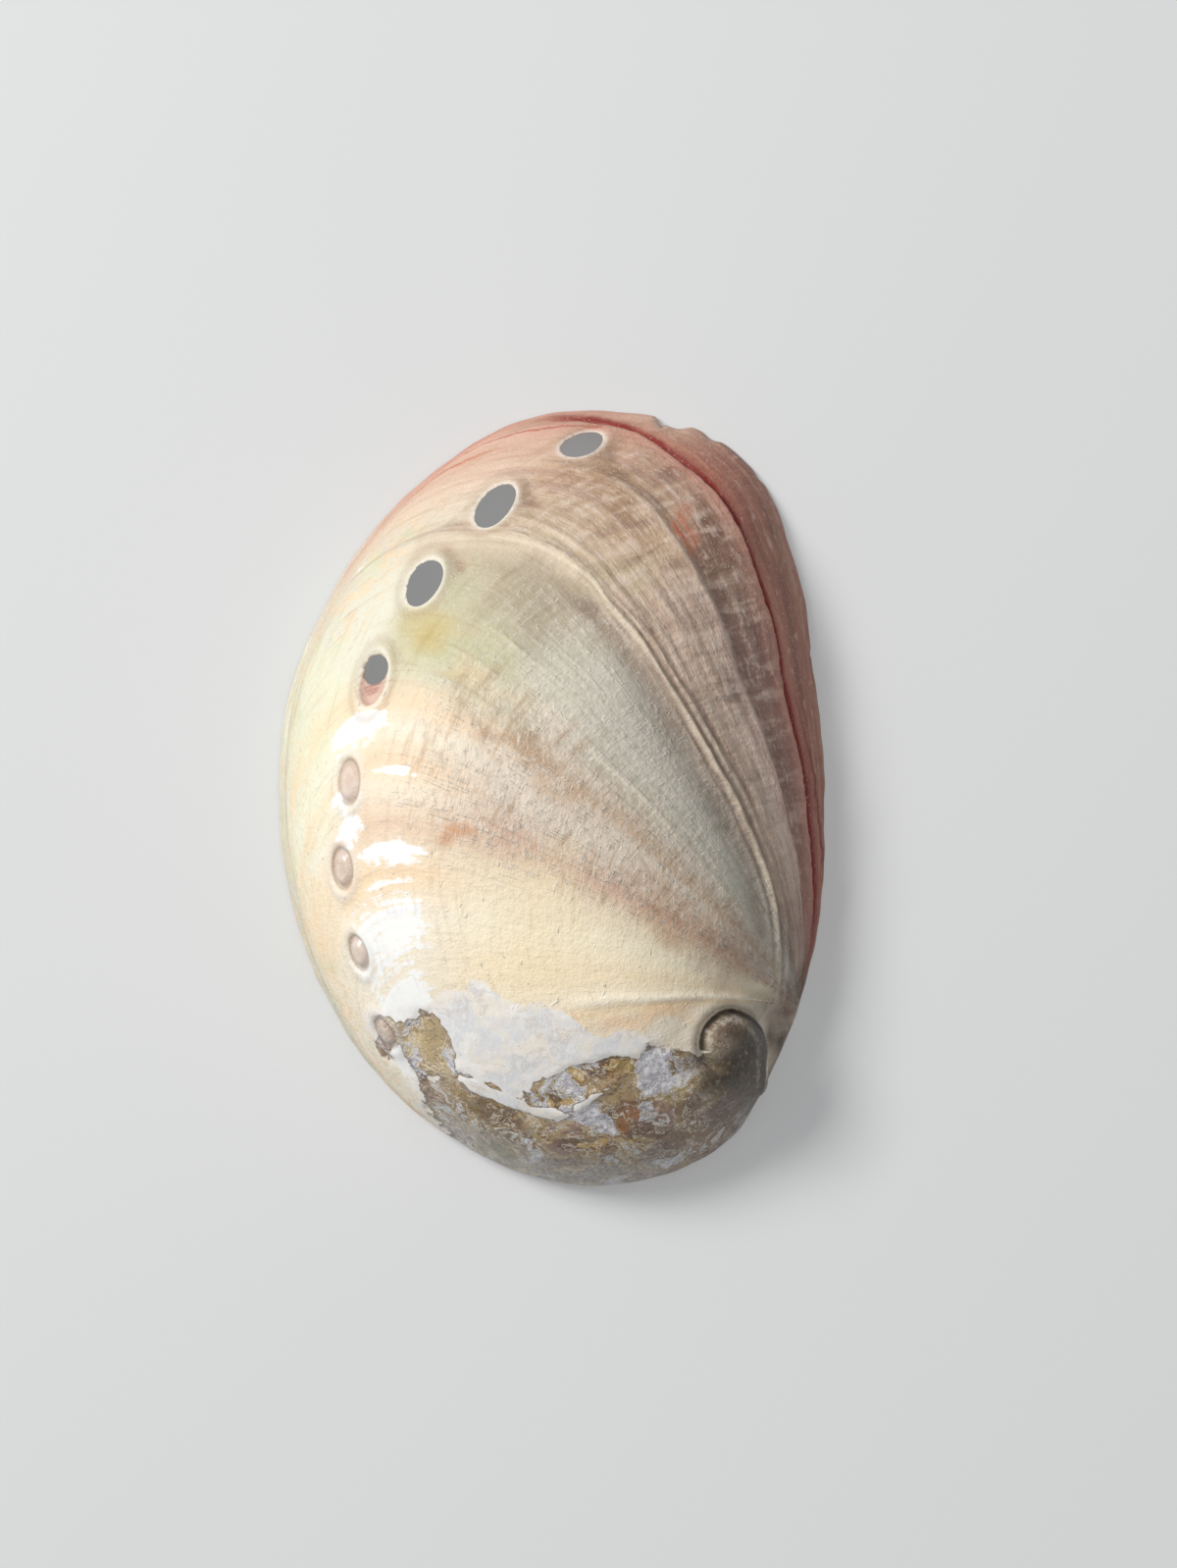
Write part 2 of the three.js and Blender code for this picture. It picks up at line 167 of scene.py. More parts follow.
def surface_normals(grid):
    """Outward directions over a grid of rings."""
    along = np.roll(grid, -1, 1) - np.roll(grid, 1, 1)
    outward = np.gradient(grid, axis=0)
    normal = np.cross(outward, along)
    return normal / np.maximum(np.linalg.norm(normal, axis=-1, keepdims=True), 1e-9)


def pore_gap(x, y, pore):
    """About how far a place is outside a pore's edge."""
    px, py, half_long, half_wide, turn = pore
    c, s = math.cos(math.radians(turn)), math.sin(math.radians(turn))
    along = ((x - px) * c + (y - py) * s) / half_long
    across = ((y - py) * c - (x - px) * s) / half_wide
    return (np.hypot(along, across) - 1) * math.sqrt(half_long * half_wide)


def coil_gap(x, y):
    """How far a place is inside the groove round the coil, and how closed it is there."""
    dx, dy = x - COIL_CENTRE[0], y - COIL_CENTRE[1]
    turn = np.degrees(np.arctan2(dy, dx))
    away = np.hypot(dx, dy)
    wrapped = (turn + 80) % 360 - 80
    closed = ease(wrapped, -75, -40) * (1 - ease(wrapped, 196, 228))
    return round_table(COIL_GROOVE, turn) - away, closed, wrapped, away


def grown_relief(x, y):
    """Height of the pores' collars, their plugs and the coil over the plain dome."""
    lift = np.zeros_like(x)
    for pore in OPEN_PORES + [HALF_PORE]:
        gap = pore_gap(x, y, pore)
        lift += COLLAR_RISE * np.exp(-(((gap - 0.35) / 0.75) ** 2))
        lift += COLLAR_SWELL * np.exp(-((gap / 2.2) ** 2))
        toward = math.radians(pore[4] - 35)
        ahead = pore[2] + 1.6
        dimple_x, dimple_y = pore[0] + math.cos(toward) * ahead, pore[1] + math.sin(toward) * ahead
        dimple = np.hypot(x - dimple_x, y - dimple_y)
        lift -= DIMPLE_DEPTH * np.exp(-((dimple / 1.3) ** 2))
    lift -= HALF_PORE_DEPTH * ease(-pore_gap(x, y, HALF_PORE), -0.1, 0.5)
    for pore in CLOSED_PORES:
        gap = pore_gap(x, y, pore)
        lift += PLUG_COLLAR * np.exp(-(((gap - 0.5) / 0.6) ** 2))
        lift -= PLUG_GROOVE * np.exp(-(((gap + 0.15) / 0.22) ** 2))
        lift += PLUG_RISE * ease(-gap, 0.1, 0.9)
    gap, closed, wrapped, away = coil_gap(x, y)
    tube_round = np.sqrt(np.clip(1 - (1 - np.clip(gap / COIL_ROUNDING, 0, 1)) ** 2, 0, 1))
    rise = closed * tube_round + (1 - closed) * (1 - ease(away, 1.5, 9.0))
    lift += COIL_RISE * rise
    lift -= closed * GROOVE_DEPTH * np.exp(-(((gap + 0.1) / 0.45) ** 2))
    lift += closed * COIL_BEAD * np.exp(-(((gap + 1.3) / 0.8) ** 2))
    over_lip = ease(wrapped, -62, -45) * (1 - ease(wrapped, 20, 60))
    lift -= over_lip * LIP_SINK * ease(-gap, -0.2, 0.7)
    return lift


# Rings of points from the crown out to the margin, round its edge, in along the ledge
# and up the hollow to the point under the crown.
ROUND = 640
OUTER_RINGS = 136
INNER_RINGS = 46
MEAN_REACH = 38
MEAN_REACH_INSIDE = 36
SPACING = 0.42
SPACING_INSIDE = 0.85
FEWEST_POINTS = 20
LEDGE_DISH = 0.5
directions = np.arange(ROUND) * 360.0 / ROUND
reach = round_table(MARGIN_TABLE, directions)
ledge = round_table(LEDGE, directions)
lip = np.minimum(EDGE_ROUND, ledge * 0.45)

# Rings crowd together along the old ridge and the newest step and follow both round.
FINE_STEPS = 900
scale = np.linspace(0, 1, FINE_STEPS + 1)[:, None]
ridge_at, _ = round_table(OLD_RIDGE, directions)
step_at, _ = round_table(NEW_STEP, directions)
crowding = 1 + 1.2 * scale**4 + 2.4 * np.exp(-(((scale - ridge_at) / 0.045) ** 2))
crowding = crowding + 2.0 * np.exp(-(((scale - step_at) / 0.035) ** 2))
filled = np.cumsum(crowding, axis=0) - crowding[0]
filled /= filled[-1]
steps = np.linspace(0, 1, OUTER_RINGS + 1)[1:]
share = np.stack([np.interp(steps, filled[:, k], scale[:, 0]) for k in range(ROUND)], axis=1)
outer = dome(directions[None, :], share, reach[None, :], HEIGHT, lip[None, :])
lift = grown_relief(outer[..., 0], outer[..., 1]) * (1 - ease(share, 0.985, 1.0))
outer = outer + surface_normals(outer) * lift[..., None]

chipped = np.zeros(ROUND)
for toward, wide, deep in CHIPS:
    chipped = np.maximum(chipped, deep * np.exp(-np.abs((directions - toward) / wide) ** 3))
bearing = np.radians(directions)
chipped += EDGE_ROUGHNESS * np.sin(bearing * 41) * np.sin(bearing * 17)
plain = np.stack([np.cos(bearing), np.sin(bearing), 0 * directions], -1)
up = np.array([0.0, 0.0, 1.0])
outer = outer - plain[None] * (chipped[None, :] * ease(share, 0.965, 1.0))[..., None]


def margin_ring(inset, height):
    """The margin's outline drawn in by an inset, at a height."""
    ring = plain * (reach - chipped - inset)[:, None] + up * height[:, None]
    return ring + np.array([CROWN[0], CROWN[1], 0.0])


edge = []
for angle in (30, 60, 90):
    drop = math.radians(angle)
    edge.append(margin_ring(lip * (1 - math.cos(drop)), lip * (1 - math.sin(drop))))
for part in (0.15, 0.35, 0.6, 0.85):
    dish = LEDGE_DISH * math.sin(math.pi * min(part / 0.9, 1.0)) * ease(ledge, 1.5, 4.5)
    edge.append(margin_ring(lip + (ledge - 2 * lip) * part, dish))
for angle in (0, 30, 60):
    drop = math.radians(angle)
    edge.append(margin_ring(ledge - lip * (1 - math.sin(drop)), lip * (1 - math.cos(drop))))
edge = np.array(edge)

share_in = np.sin(np.linspace(1, 0, INNER_RINGS + 1)[:-1] * math.pi / 2)[:, None]
drawn_in = SIDE_WALL + (ledge - SIDE_WALL)[None, :] * share_in**8
inner = dome(directions[None, :], share_in, reach[None, :] - drawn_in, HEIGHT - WALL, lip[None, :])
inner = inner - plain[None] * (chipped[None, :] * ease(share_in, 0.93, 1.0))[..., None]

rings = np.concatenate([outer, edge, inner])
crown_point = np.array([CROWN[0], CROWN[1], HEIGHT])
under_point = np.array([CROWN[0], CROWN[1], HEIGHT - WALL])
OUTSIDE_RINGS = OUTER_RINGS + 1


def ring_count(radius, spacing):
    """How many points a ring needs, halved as often as their spacing allows."""
    count = ROUND
    while count > FEWEST_POINTS and 2 * math.pi * radius / (count // 2) <= spacing:
        count //= 2
    return count


counts = [ring_count(MEAN_REACH * float(s), SPACING) for s in share.mean(axis=1)]
counts += [ROUND] * len(edge)
counts += [ring_count(MEAN_REACH_INSIDE * float(s), SPACING_INSIDE) for s in share_in[:, 0]]
for i in range(OUTER_RINGS + len(edge), len(counts)):
    counts[i] = max(counts[i], counts[i - 1] // 2)

first = np.concatenate([[1], 1 + np.cumsum(counts)])
picked = [rings[i][:: ROUND // n] for i, n in enumerate(counts)]
points = np.concatenate([crown_point[None]] + picked + [under_point[None]])
last = len(points) - 1

# The flat pattern of each side: distance along the surface from its own middle.
PATTERN_SCALE = 0.0053
OUTSIDE_MIDDLE = [0.25, 0.56]
INSIDE_MIDDLE = [0.75, 0.56]
forth = np.concatenate([np.tile(crown_point, (1, ROUND, 1)), rings[:OUTSIDE_RINGS]])
run_out = np.cumsum(np.linalg.norm(np.diff(forth, axis=0), axis=-1), axis=0)
back = np.concatenate([rings[OUTSIDE_RINGS - 1:], np.tile(under_point, (1, ROUND, 1))])[::-1]
run_in = np.cumsum(np.linalg.norm(np.diff(back, axis=0), axis=-1), axis=0)[::-1]
flat_out = np.full((len(points), 2), OUTSIDE_MIDDLE)
flat_in = np.full((len(points), 2), INSIDE_MIDDLE)
for i, n in enumerate(counts):
    heading = plain[:: ROUND // n, :2]
    if i < OUTSIDE_RINGS:
        flat_out[first[i]:first[i] + n] += heading * run_out[i][:: ROUND // n, None] * PATTERN_SCALE
    if i >= OUTSIDE_RINGS - 1:
        run = run_in[i - OUTSIDE_RINGS + 1]
        flat_in[first[i]:first[i] + n] += heading * run[:: ROUND // n, None] * PATTERN_SCALE * [-1, 1]


def bridge(a, n, b, m):
    """Faces between one ring and the next, where a ring may have twice the other's points."""
    j = np.arange(min(n, m))
    k = (j + 1) % min(n, m)
    if n == m:
        return [np.stack([a + j, b + j, b + k, a + k], 1)]
    if n < m:
        return [
            np.stack([a + j, b + 2 * j, b + 2 * j + 1], 1),
            np.stack([a + j, b + 2 * j + 1, a + k], 1),
            np.stack([a + k, b + 2 * j + 1, b + 2 * k], 1),
        ]
    return [
        np.stack([a + 2 * j, b + j, a + 2 * j + 1], 1),
        np.stack([a + 2 * j + 1, b + j, b + k], 1),
        np.stack([a + 2 * j + 1, b + k, a + 2 * k], 1),
    ]


faces, sides = [], []
j = np.arange(counts[0])
faces += np.stack([0 * j, 1 + j, 1 + (j + 1) % counts[0]], 1).tolist()
sides += [0] * counts[0]
for i in range(len(counts) - 1):
    for block in bridge(first[i], counts[i], first[i + 1], counts[i + 1]):
        faces += block.tolist()
        sides += [0 if i < OUTSIDE_RINGS - 1 else 1] * len(block)
j = np.arange(counts[-1])
faces += np.stack([first[-2] + j, last + 0 * j, first[-2] + (j + 1) % counts[-1]], 1).tolist()
sides += [1] * counts[-1]

# The finished colours are laid out flat by a map of this name.
FLAT_MAP = "OFBake"


def add_mesh(name, points, faces, sides, flat):
    """A mesh in metres from points in millimetres, with one flat place for each corner."""
    mesh = bpy.data.meshes.new(name)
    mesh.from_pydata((np.asarray(points) * 0.001).tolist(), [], faces)
    mesh.polygons.foreach_set("material_index", np.array(sides, np.int32))
    layer = mesh.uv_layers.new(name=FLAT_MAP)
    layer.uv.foreach_set("vector", np.asarray(flat, np.float32).ravel())
    mesh.update()
    piece = bpy.data.objects.new(name, mesh)
    bpy.context.scene.collection.objects.link(piece)
    return piece


corners = np.concatenate([np.array(f) for f in faces])
lengths = np.array([len(f) for f in faces])
corner_side = np.repeat(np.array(sides), lengths)
flat = np.where(corner_side[:, None] == 0, flat_out[corners], flat_in[corners])
shell = add_mesh("abalone", points, faces, sides, flat)
for side in ("outside", "inside", "pore_wall", "coil_pocket"):
    shell.data.materials.append(bpy.data.materials.new(side + "_stand_in"))

# The open pores go through the wall, and the hollow runs on into the coil behind the
# ledge. Each is cut from the grown form. A pore's cut flares at heights over the dome.
PORE_CUT = ((-9.0, 1.3), (-1.4, 1.04), (-0.4, 0.99), (0.3, 1.0), (4.5, 1.12))

# The pocket's way into the coil: middle and radius. It stays above the ledge.
POCKET = [
    (-8.0, -24.0, 5.6, 6.7), (0.0, -31.5, 5.2, 7.5), (10.0, -33.8, 5.4, 7.0),
    (16.0, -31.8, 6.6, 5.0), (18.6, -29.8, 8.2, 3.4), (19.2, -28.4, 9.2, 2.3),
]
LEDGE_THICK = 1.8

# Points round each cut, and stretches between two middles of the pocket.
PORE_POINTS = 64
POCKET_POINTS = 48
POCKET_STRETCHES = 6

# Corners and sizes of the cut walls' rectangles in the flat pattern.
PORE_CORNER, PORE_FLAT = (0.03, 0.03), (0.085, 0.05)
POCKET_CORNER, POCKET_FLAT = (0.5, 0.02), (0.27, 0.12)
PORE_STEP = 0.1


def tube(name, rings, side, corner, size):
    """A closed tube of rings with its flat pattern in a rectangle of the flat map."""
    rows, around = len(rings), len(rings[0])
    points = [r for ring in rings for r in ring] + [np.mean(rings[0], 0), np.mean(rings[-1], 0)]
    faces, flat = [], []

    def flat_at(i, j):
        return (corner[0] + size[0] * j / around, corner[1] + size[1] * i / (rows - 1))

    for j in range(around):
        k = (j + 1) % around
        for i in range(rows - 1):
            faces.append((i * around + j, i * around + k, (i + 1) * around + k, (i + 1) * around + j))
            flat += [flat_at(i, j), flat_at(i, j + 1), flat_at(i + 1, j + 1), flat_at(i + 1, j)]
        faces.append((rows * around, k, j))
        flat += [flat_at(0, j), flat_at(0, j + 1), flat_at(0, j)]
        faces.append((rows * around + 1, (rows - 1) * around + j, (rows - 1) * around + k))
        flat += [flat_at(rows - 1, j), flat_at(rows - 1, j), flat_at(rows - 1, j + 1)]
    return add_mesh(name, points, faces, [side] * len(faces), flat)


def cut_from(body, cutter):
    """Takes a cutter's form out of a body. The cut faces keep the cutter's material."""
    for side in body.data.materials:
        cutter.data.materials.append(side)
    cut = body.modifiers.new("cut", "BOOLEAN")
    cut.operation = "DIFFERENCE"
    cut.solver = "EXACT"
    cut.object = cutter
    shaped = bpy.data.meshes.new_from_object(body.evaluated_get(bpy.context.evaluated_depsgraph_get()))
    body.modifiers.remove(cut)
    body.data = shaped
    bpy.data.objects.remove(cutter)


angles = np.linspace(0, 2 * math.pi, PORE_POINTS + 1)[:-1]
for number, (px, py, half_long, half_wide, turn) in enumerate(OPEN_PORES + [HALF_PORE_HOLE]):
    c, s = math.cos(math.radians(turn)), math.sin(math.radians(turn))
    wobble = 1 + 0.03 * np.sin(2 * angles + number) + 0.02 * np.sin(3 * angles + 2 * number)
    along = np.cos(angles) * half_long * wobble
    across = np.sin(angles) * half_wide * wobble
    heading, away = from_crown(px, py)
    over = round_table(MARGIN_TABLE, [heading])
    middle = dome(np.array([heading]), away / over, over, HEIGHT, EDGE_ROUND)[0, 2]
    pore_rings = []
    for rise, flare in PORE_CUT:
        pore_rings.append([
            np.array([px + (a * c - b * s) * flare, py + (a * s + b * c) * flare, middle + rise])
            for a, b in zip(along, across)
        ])
    corner = (PORE_CORNER[0] + PORE_STEP * number, PORE_CORNER[1])
    cut_from(shell, tube("pore_cutter", pore_rings, 2, corner, PORE_FLAT))

path = np.array(POCKET)
smooth_path = []
for i in range(len(path) - 1):
    before, here = path[max(i - 1, 0)], path[i]
    there, after = path[i + 1], path[min(i + 2, len(path) - 1)]
    for t in np.linspace(0, 1, POCKET_STRETCHES + 1)[:-1]:
        smooth_path.append(0.5 * (
            2 * here + (there - before) * t + (2 * before - 5 * here + 4 * there - after) * t**2
            + (3 * here - before - 3 * there + after) * t**3
        ))
smooth_path.append(path[-1])
smooth_path = np.array(smooth_path)
pocket_rings = []
for i, (x, y, z, radius) in enumerate(smooth_path):
    ahead = smooth_path[min(i + 1, len(smooth_path) - 1)][:3] - smooth_path[max(i - 1, 0)][:3]
    ahead /= np.linalg.norm(ahead)
    level = np.cross(ahead, up)
    level /= np.linalg.norm(level)
    rise = np.cross(level, ahead)
    ring = []
    for a in np.linspace(0, 2 * math.pi, POCKET_POINTS + 1)[:-1]:
        point = np.array([x, y, z]) + (level * math.cos(a) + rise * math.sin(a)) * radius
        point[2] = LEDGE_THICK + math.log1p(math.exp((point[2] - LEDGE_THICK) * 2.0)) / 2.0
        ring.append(point)
    pocket_rings.append(ring)
tip, end_ring = smooth_path[-1], pocket_rings[-1]
ahead = tip[:3] - smooth_path[-2][:3]
ahead /= np.linalg.norm(ahead)
for far, shrink in ((0.5, 0.85), (0.85, 0.5)):
    pocket_rings.append([tip[:3] + ahead * tip[3] * far + (r - tip[:3]) * shrink for r in end_ring])
cut_from(shell, tube("pocket_cutter", pocket_rings[::-1], 3, POCKET_CORNER, POCKET_FLAT))

# ------------------------------------------------------------------ growth lines
# Every old margin is the present one turned back round the coil, drawn in and shrunk
# by a fixed rate. Age is that turn in degrees, and a cord follows one place on the
# margin back through it. Both are kept on the shell for its ribs and its colours.
COIL_POLE = np.array([19.8, -29.1])
SHRINK_RATE = 0.27
STRETCH_TURN = math.radians(57)
STRETCH = 1.27
DRIFT = np.array([8.2, 8.3])
OLDEST = 235


def turned(angle):
    """The matrix that turns a place seen from above."""
    return np.array([[math.cos(angle), -math.sin(angle)], [math.sin(angle), math.cos(angle)]])


squeeze = turned(STRETCH_TURN) @ np.diag([1, STRETCH]) @ turned(-STRETCH_TURN)
unsqueeze = np.linalg.inv(squeeze)


def growth(plan):
    """Age and cord, in degrees, of places seen from above."""
    age = np.full(len(plan), float(OLDEST))
    cord = np.zeros(len(plan))
    found = np.zeros(len(plan), bool)
    before = None
    for angle in np.arange(0.0, OLDEST + 1.0, 1.0):
        back = math.radians(angle)
        then = (math.exp(SHRINK_RATE * back) * (plan - COIL_POLE) - DRIFT) @ unsqueeze.T
        then = then @ turned(-back).T @ squeeze.T + COIL_POLE + DRIFT
        way = then - np.array(CROWN)
        heading = np.degrees(np.arctan2(way[:, 1], way[:, 0]))
        part = np.hypot(way[:, 0], way[:, 1]) / round_table(MARGIN_TABLE, heading)
        if before is not None:
            hit = ~found & (part >= 1) & (before[0] < 1)
            t = (1 - before[0][hit]) / (part[hit] - before[0][hit])
            age[hit] = angle - 1 + t
            swing = (heading[hit] - before[1][hit] + 180) % 360 - 180
            cord[hit] = before[1][hit] + t * swing
            found |= hit
        before = (part, heading)
    return age, (cord + 90) % 360 - 90


count = len(shell.data.vertices)
place = np.empty(count * 3, np.float32)
shell.data.vertices.foreach_get("co", place)
place = place.reshape(-1, 3).astype(float) * 1000
way = place[:, :2] - np.array(CROWN)
heading = np.degrees(np.arctan2(way[:, 1], way[:, 0]))
full = round_table(MARGIN_TABLE, heading)
part = np.hypot(way[:, 0], way[:, 1]) / full
JUST_INSIDE = 0.9985
age, cord = growth(CROWN + way * np.minimum(1, JUST_INSIDE / np.maximum(part, 1e-6))[:, None])
ridge_share, ridge_high = round_table(OLD_RIDGE, heading)
step_share, step_high = round_table(NEW_STEP, heading)


def keep(name, values, kind="FLOAT"):
    """Keeps a number or a colour for each point of the shell, for its ribs and colours."""
    layer = shell.data.attributes.new(name, kind, "POINT")
    slot = "value" if kind == "FLOAT" else "vector"
    layer.data.foreach_set(slot, np.asarray(values, np.float32).ravel())


outer_face = np.array([polygon.material_index == 0 for polygon in shell.data.polygons])
layer = shell.data.attributes.new("outer_face", "BOOLEAN", "FACE")
layer.data.foreach_set("value", outer_face)
on_outside = np.zeros(count, np.float32)
for polygon in shell.data.polygons:
    if polygon.material_index == 0:
        on_outside[list(polygon.vertices)] = 1.0


def nearest(ovals):
    """How far each point is outside the nearest of some ovals."""
    return np.min([pore_gap(place[:, 0], place[:, 1], each) for each in ovals], axis=0)


# Worn ground at the back: soft ovals of centre, half sizes and turn.
WORN = [
    (6.0, -39.0, 18.0, 6.6, 4), (-8.5, -36.5, 7.0, 4.0, -38), (16.0, -35.0, 7.5, 5.5, 20),
    (5.0, -32.0, 7.4, 2.4, 14), (-18.9, -27.2, 1.3, 2.1, 20), (-14.0, -28.2, 2.7, 4.2, 28),
    (13.0, -31.0, 3.5, 3.5, 0), (15.4, -30.6, 1.9, 1.9, 0),
    (22.0, -32.8, 4.2, 3.4, 0), (25.6, -31.0, 1.6, 2.6, 0), (18.9, -30.4, 3.6, 1.5, -4),
    (20.2, -29.8, 2.7, 2.3, 0), (22.4, -37.4, 3.6, 3.6, 0), (25.4, -34.0, 1.8, 2.6, -20),
]
# Strips of sound nacre that the weather has spared between its islands.
SPARED = [(-6.6, -33.4, 4.4, 0.75, -22), (-0.6, -35.6, 2.6, 0.5, -8), (4.6, -33.9, 4.0, 0.4, 34)]
SPARED_EDGE = 0.25

groove_gap, groove_closed, groove_turn, _ = coil_gap(place[:, 0], place[:, 1])
fields = {
    "coil_gap": -groove_gap,
    "coil_closed": groove_closed * (1 - ease(groove_turn, 165, 185)) * ease(groove_turn, -62, -50),
    "age": age,
    "cord": cord,
    "outside": on_outside,
    "ridge_gap": (part - ridge_share) * full,
    "ridge_high": np.maximum(ridge_high, 0),
    "step_gap": (part - step_share) * full,
    "step_high": np.maximum(step_high, 0),
    "worn_gap": np.maximum(nearest(WORN), SPARED_EDGE - nearest(SPARED)),
    "edge_gap": (1 - part) * full,
    "pore_gap": nearest(OPEN_PORES + [HALF_PORE]),
    "plug_gap": nearest(CLOSED_PORES),
}
for name, values in fields.items():
    keep(name, values)


class Wire:
    """One value inside a node tree. Arithmetic on it adds Math nodes there."""

    def __init__(self, tree, socket):
        self.tree, self.socket = tree, socket

    def maths(self, operation, *values):
        return add_node(self.tree, "ShaderNodeMath", {"operation": operation}, dict(enumerate(values)))

    def __add__(self, other):
        return self.maths("ADD", self, other)

    def __sub__(self, other):
        return self.maths("SUBTRACT", self, other)

    def __mul__(self, other):
        return self.maths("MULTIPLY", self, other)

    def __truediv__(self, other):
        return self.maths("DIVIDE", self, other)

    def __rsub__(self, other):
        return self.maths("SUBTRACT", other, self)

    def __rtruediv__(self, other):
        return self.maths("DIVIDE", other, self)

    def __neg__(self):
        return self.maths("MULTIPLY", self, -1.0)

    __radd__ = __add__
    __rmul__ = __mul__

    def wave(self):
        return self.maths("SINE", self)

    def bell(self, width):
        """One at zero, falling away over a width on both sides."""
        scaled = self / width
        return self.maths("EXPONENT", -(scaled * scaled))

    def at_least(self, other):
        return self.maths("MAXIMUM", self, other)

    def at_most(self, other):
        return self.maths("MINIMUM", self, other)

    def rise(self, low, high):
        """Zero below low, one above high, eased between. Low may be the larger."""
        settings = {"interpolation_type": "SMOOTHSTEP"}
        values = {0: self, 1: low, 2: high, 3: 0.0, 4: 1.0}
        return add_node(self.tree, "ShaderNodeMapRange", settings, values)


def add_node(tree, kind, settings=None, values=None, out=0):
    """Adds one node: settings first, then its sockets' values or links."""
    node = tree.nodes.new(kind)
    for key, value in (settings or {}).items():
        setattr(node, key, value)
    for key, value in (values or {}).items():
        socket = node.inputs[key]
        if isinstance(value, Wire):
            tree.links.new(value.socket, socket)
        else:
            socket.default_value = value
    return Wire(tree, node.outputs[out]) if len(node.outputs) else None


# Ages of the thin scar and of the old line, each a pause in growth.
SCAR_AGE = 43.2
OLD_LINE_AGE = 104.5

# Ribs of the young shell: age, half width, height as a share of the rib height, and
# the range of cords over which each one stands.
YOUNG_RIBS = [
    (7.4, 0.35, 0.45, (-30, 40)), (9.6, 0.4, 0.3, (-10, 64)), (13.2, 0.5, 1.5, (-20, 60)),
    (15.4, 0.4, 0.4, (-24, 40)), (17.3, 0.3, 0.45, (10, 74)), (19.2, 0.45, 0.4, (-30, 50)),
    (21.2, 0.3, 0.55, (-6, 74)), (22.9, 0.3, 0.6, (-26, 64)),
]


def over_run(cord, start, end):
    """One over a rib's run of cords, eased in and out at its ends."""
    return cord.rise(start - 6.0, start + 8.0) * cord.rise(end + 8.0, end - 8.0)


# The relief that repeats along the growth rule: ribs along the old margins, fine
# cords across them, the old ridge, the newest step, pits, and the worn ground.
relief = bpy.data.node_groups.new("growth_relief", "GeometryNodeTree")
relief.interface.new_socket("Geometry", in_out="INPUT", socket_type="NodeSocketGeometry")
relief.interface.new_socket("Geometry", in_out="OUTPUT", socket_type="NodeSocketGeometry")
RELIEF_SIZES = {
    "Cord spacing": 1.75,
    "Cord height": 0.09,
    "Rib spacing": 2.0,
    "Rib height": 0.20,
    "Ridge height": 0.60,
    "Step height": 0.85,
    "Pit depth": 0.10,
    "Worn depth": 0.28,
    "Seed": 4.3,
}
for name in RELIEF_SIZES:
    relief.interface.new_socket(name, in_out="INPUT", socket_type="NodeSocketFloat")
entry = relief.nodes.new("NodeGroupInput")
size_of = {s.name: Wire(relief, s) for s in entry.outputs if s.name}


def on_shell(name, kind="FLOAT"):
    """A value kept on the shell, read inside the relief."""
    return add_node(relief, "GeometryNodeInputNamedAttribute", {"data_type": kind}, {"Name": name})


def vector_sum(tree, operation, values):
    """One Vector Math node."""
    return add_node(tree, "ShaderNodeVectorMath", {"operation": operation}, values)


def in_millimetres(tree, metres):
    """A place in the file's own metres as millimetres, the unit of every pattern here."""
    return vector_sum(tree, "SCALE", {0: metres, "Scale": 1000.0})


here_mm = in_millimetres(relief, add_node(relief, "GeometryNodeInputPosition"))


def lumps(scale, detail=2.0):
    """Noise about zero, in steps of one over scale millimetres."""
    values = {"Vector": here_mm, "W": size_of["Seed"], "Scale": scale, "Detail": detail}
    return (add_node(relief, "ShaderNodeTexNoise", {"noise_dimensions": "4D"}, values) - 0.5) * 2.0


age_w, cord_w = on_shell("age"), on_shell("cord")
newer = age_w.rise(30.0, 18.0)
worn = (on_shell("worn_gap") + lumps(0.35, 3.0) * 2.2).rise(0.5, -0.5)
worn = worn * on_shell("coil_gap").rise(2.5, 5.5)
sound = 1.0 - worn
near_pores = on_shell("pore_gap").rise(0.2, 1.6) * on_shell("plug_gap").rise(0.2, 1.6)


def drawn_out(fine_age, fine_cord, detail=3.0):
    """Noise about zero that runs along the old margins or across them."""
    values = {0: age_w * fine_age, 1: cord_w * fine_cord, 2: size_of["Seed"]}
    vector = add_node(relief, "ShaderNodeCombineXYZ", {}, values)
    values = {"Vector": vector, "Scale": 1.0, "Detail": detail}
    return (add_node(relief, "ShaderNodeTexNoise", {}, values) - 0.5) * 2.0


cords = drawn_out(0.06, 1.1 / size_of["Cord spacing"], 2.0) * size_of["Cord height"]
cords = cords * (0.5 + newer * 1.3 * (0.6 + lumps(0.12)).at_least(0.0)) * age_w.rise(112.0, 95.0)
ribs = drawn_out(1.3 / size_of["Rib spacing"], 0.03)
ribs = ribs + drawn_out(0.5 / size_of["Rib spacing"], 0.02, 1.0)
ribs = ribs * size_of["Rib height"] * (0.35 + newer * 0.5)
ribs = ribs * (0.9 + lumps(0.2) * 0.5) * cord_w.rise(120.0, 84.0)

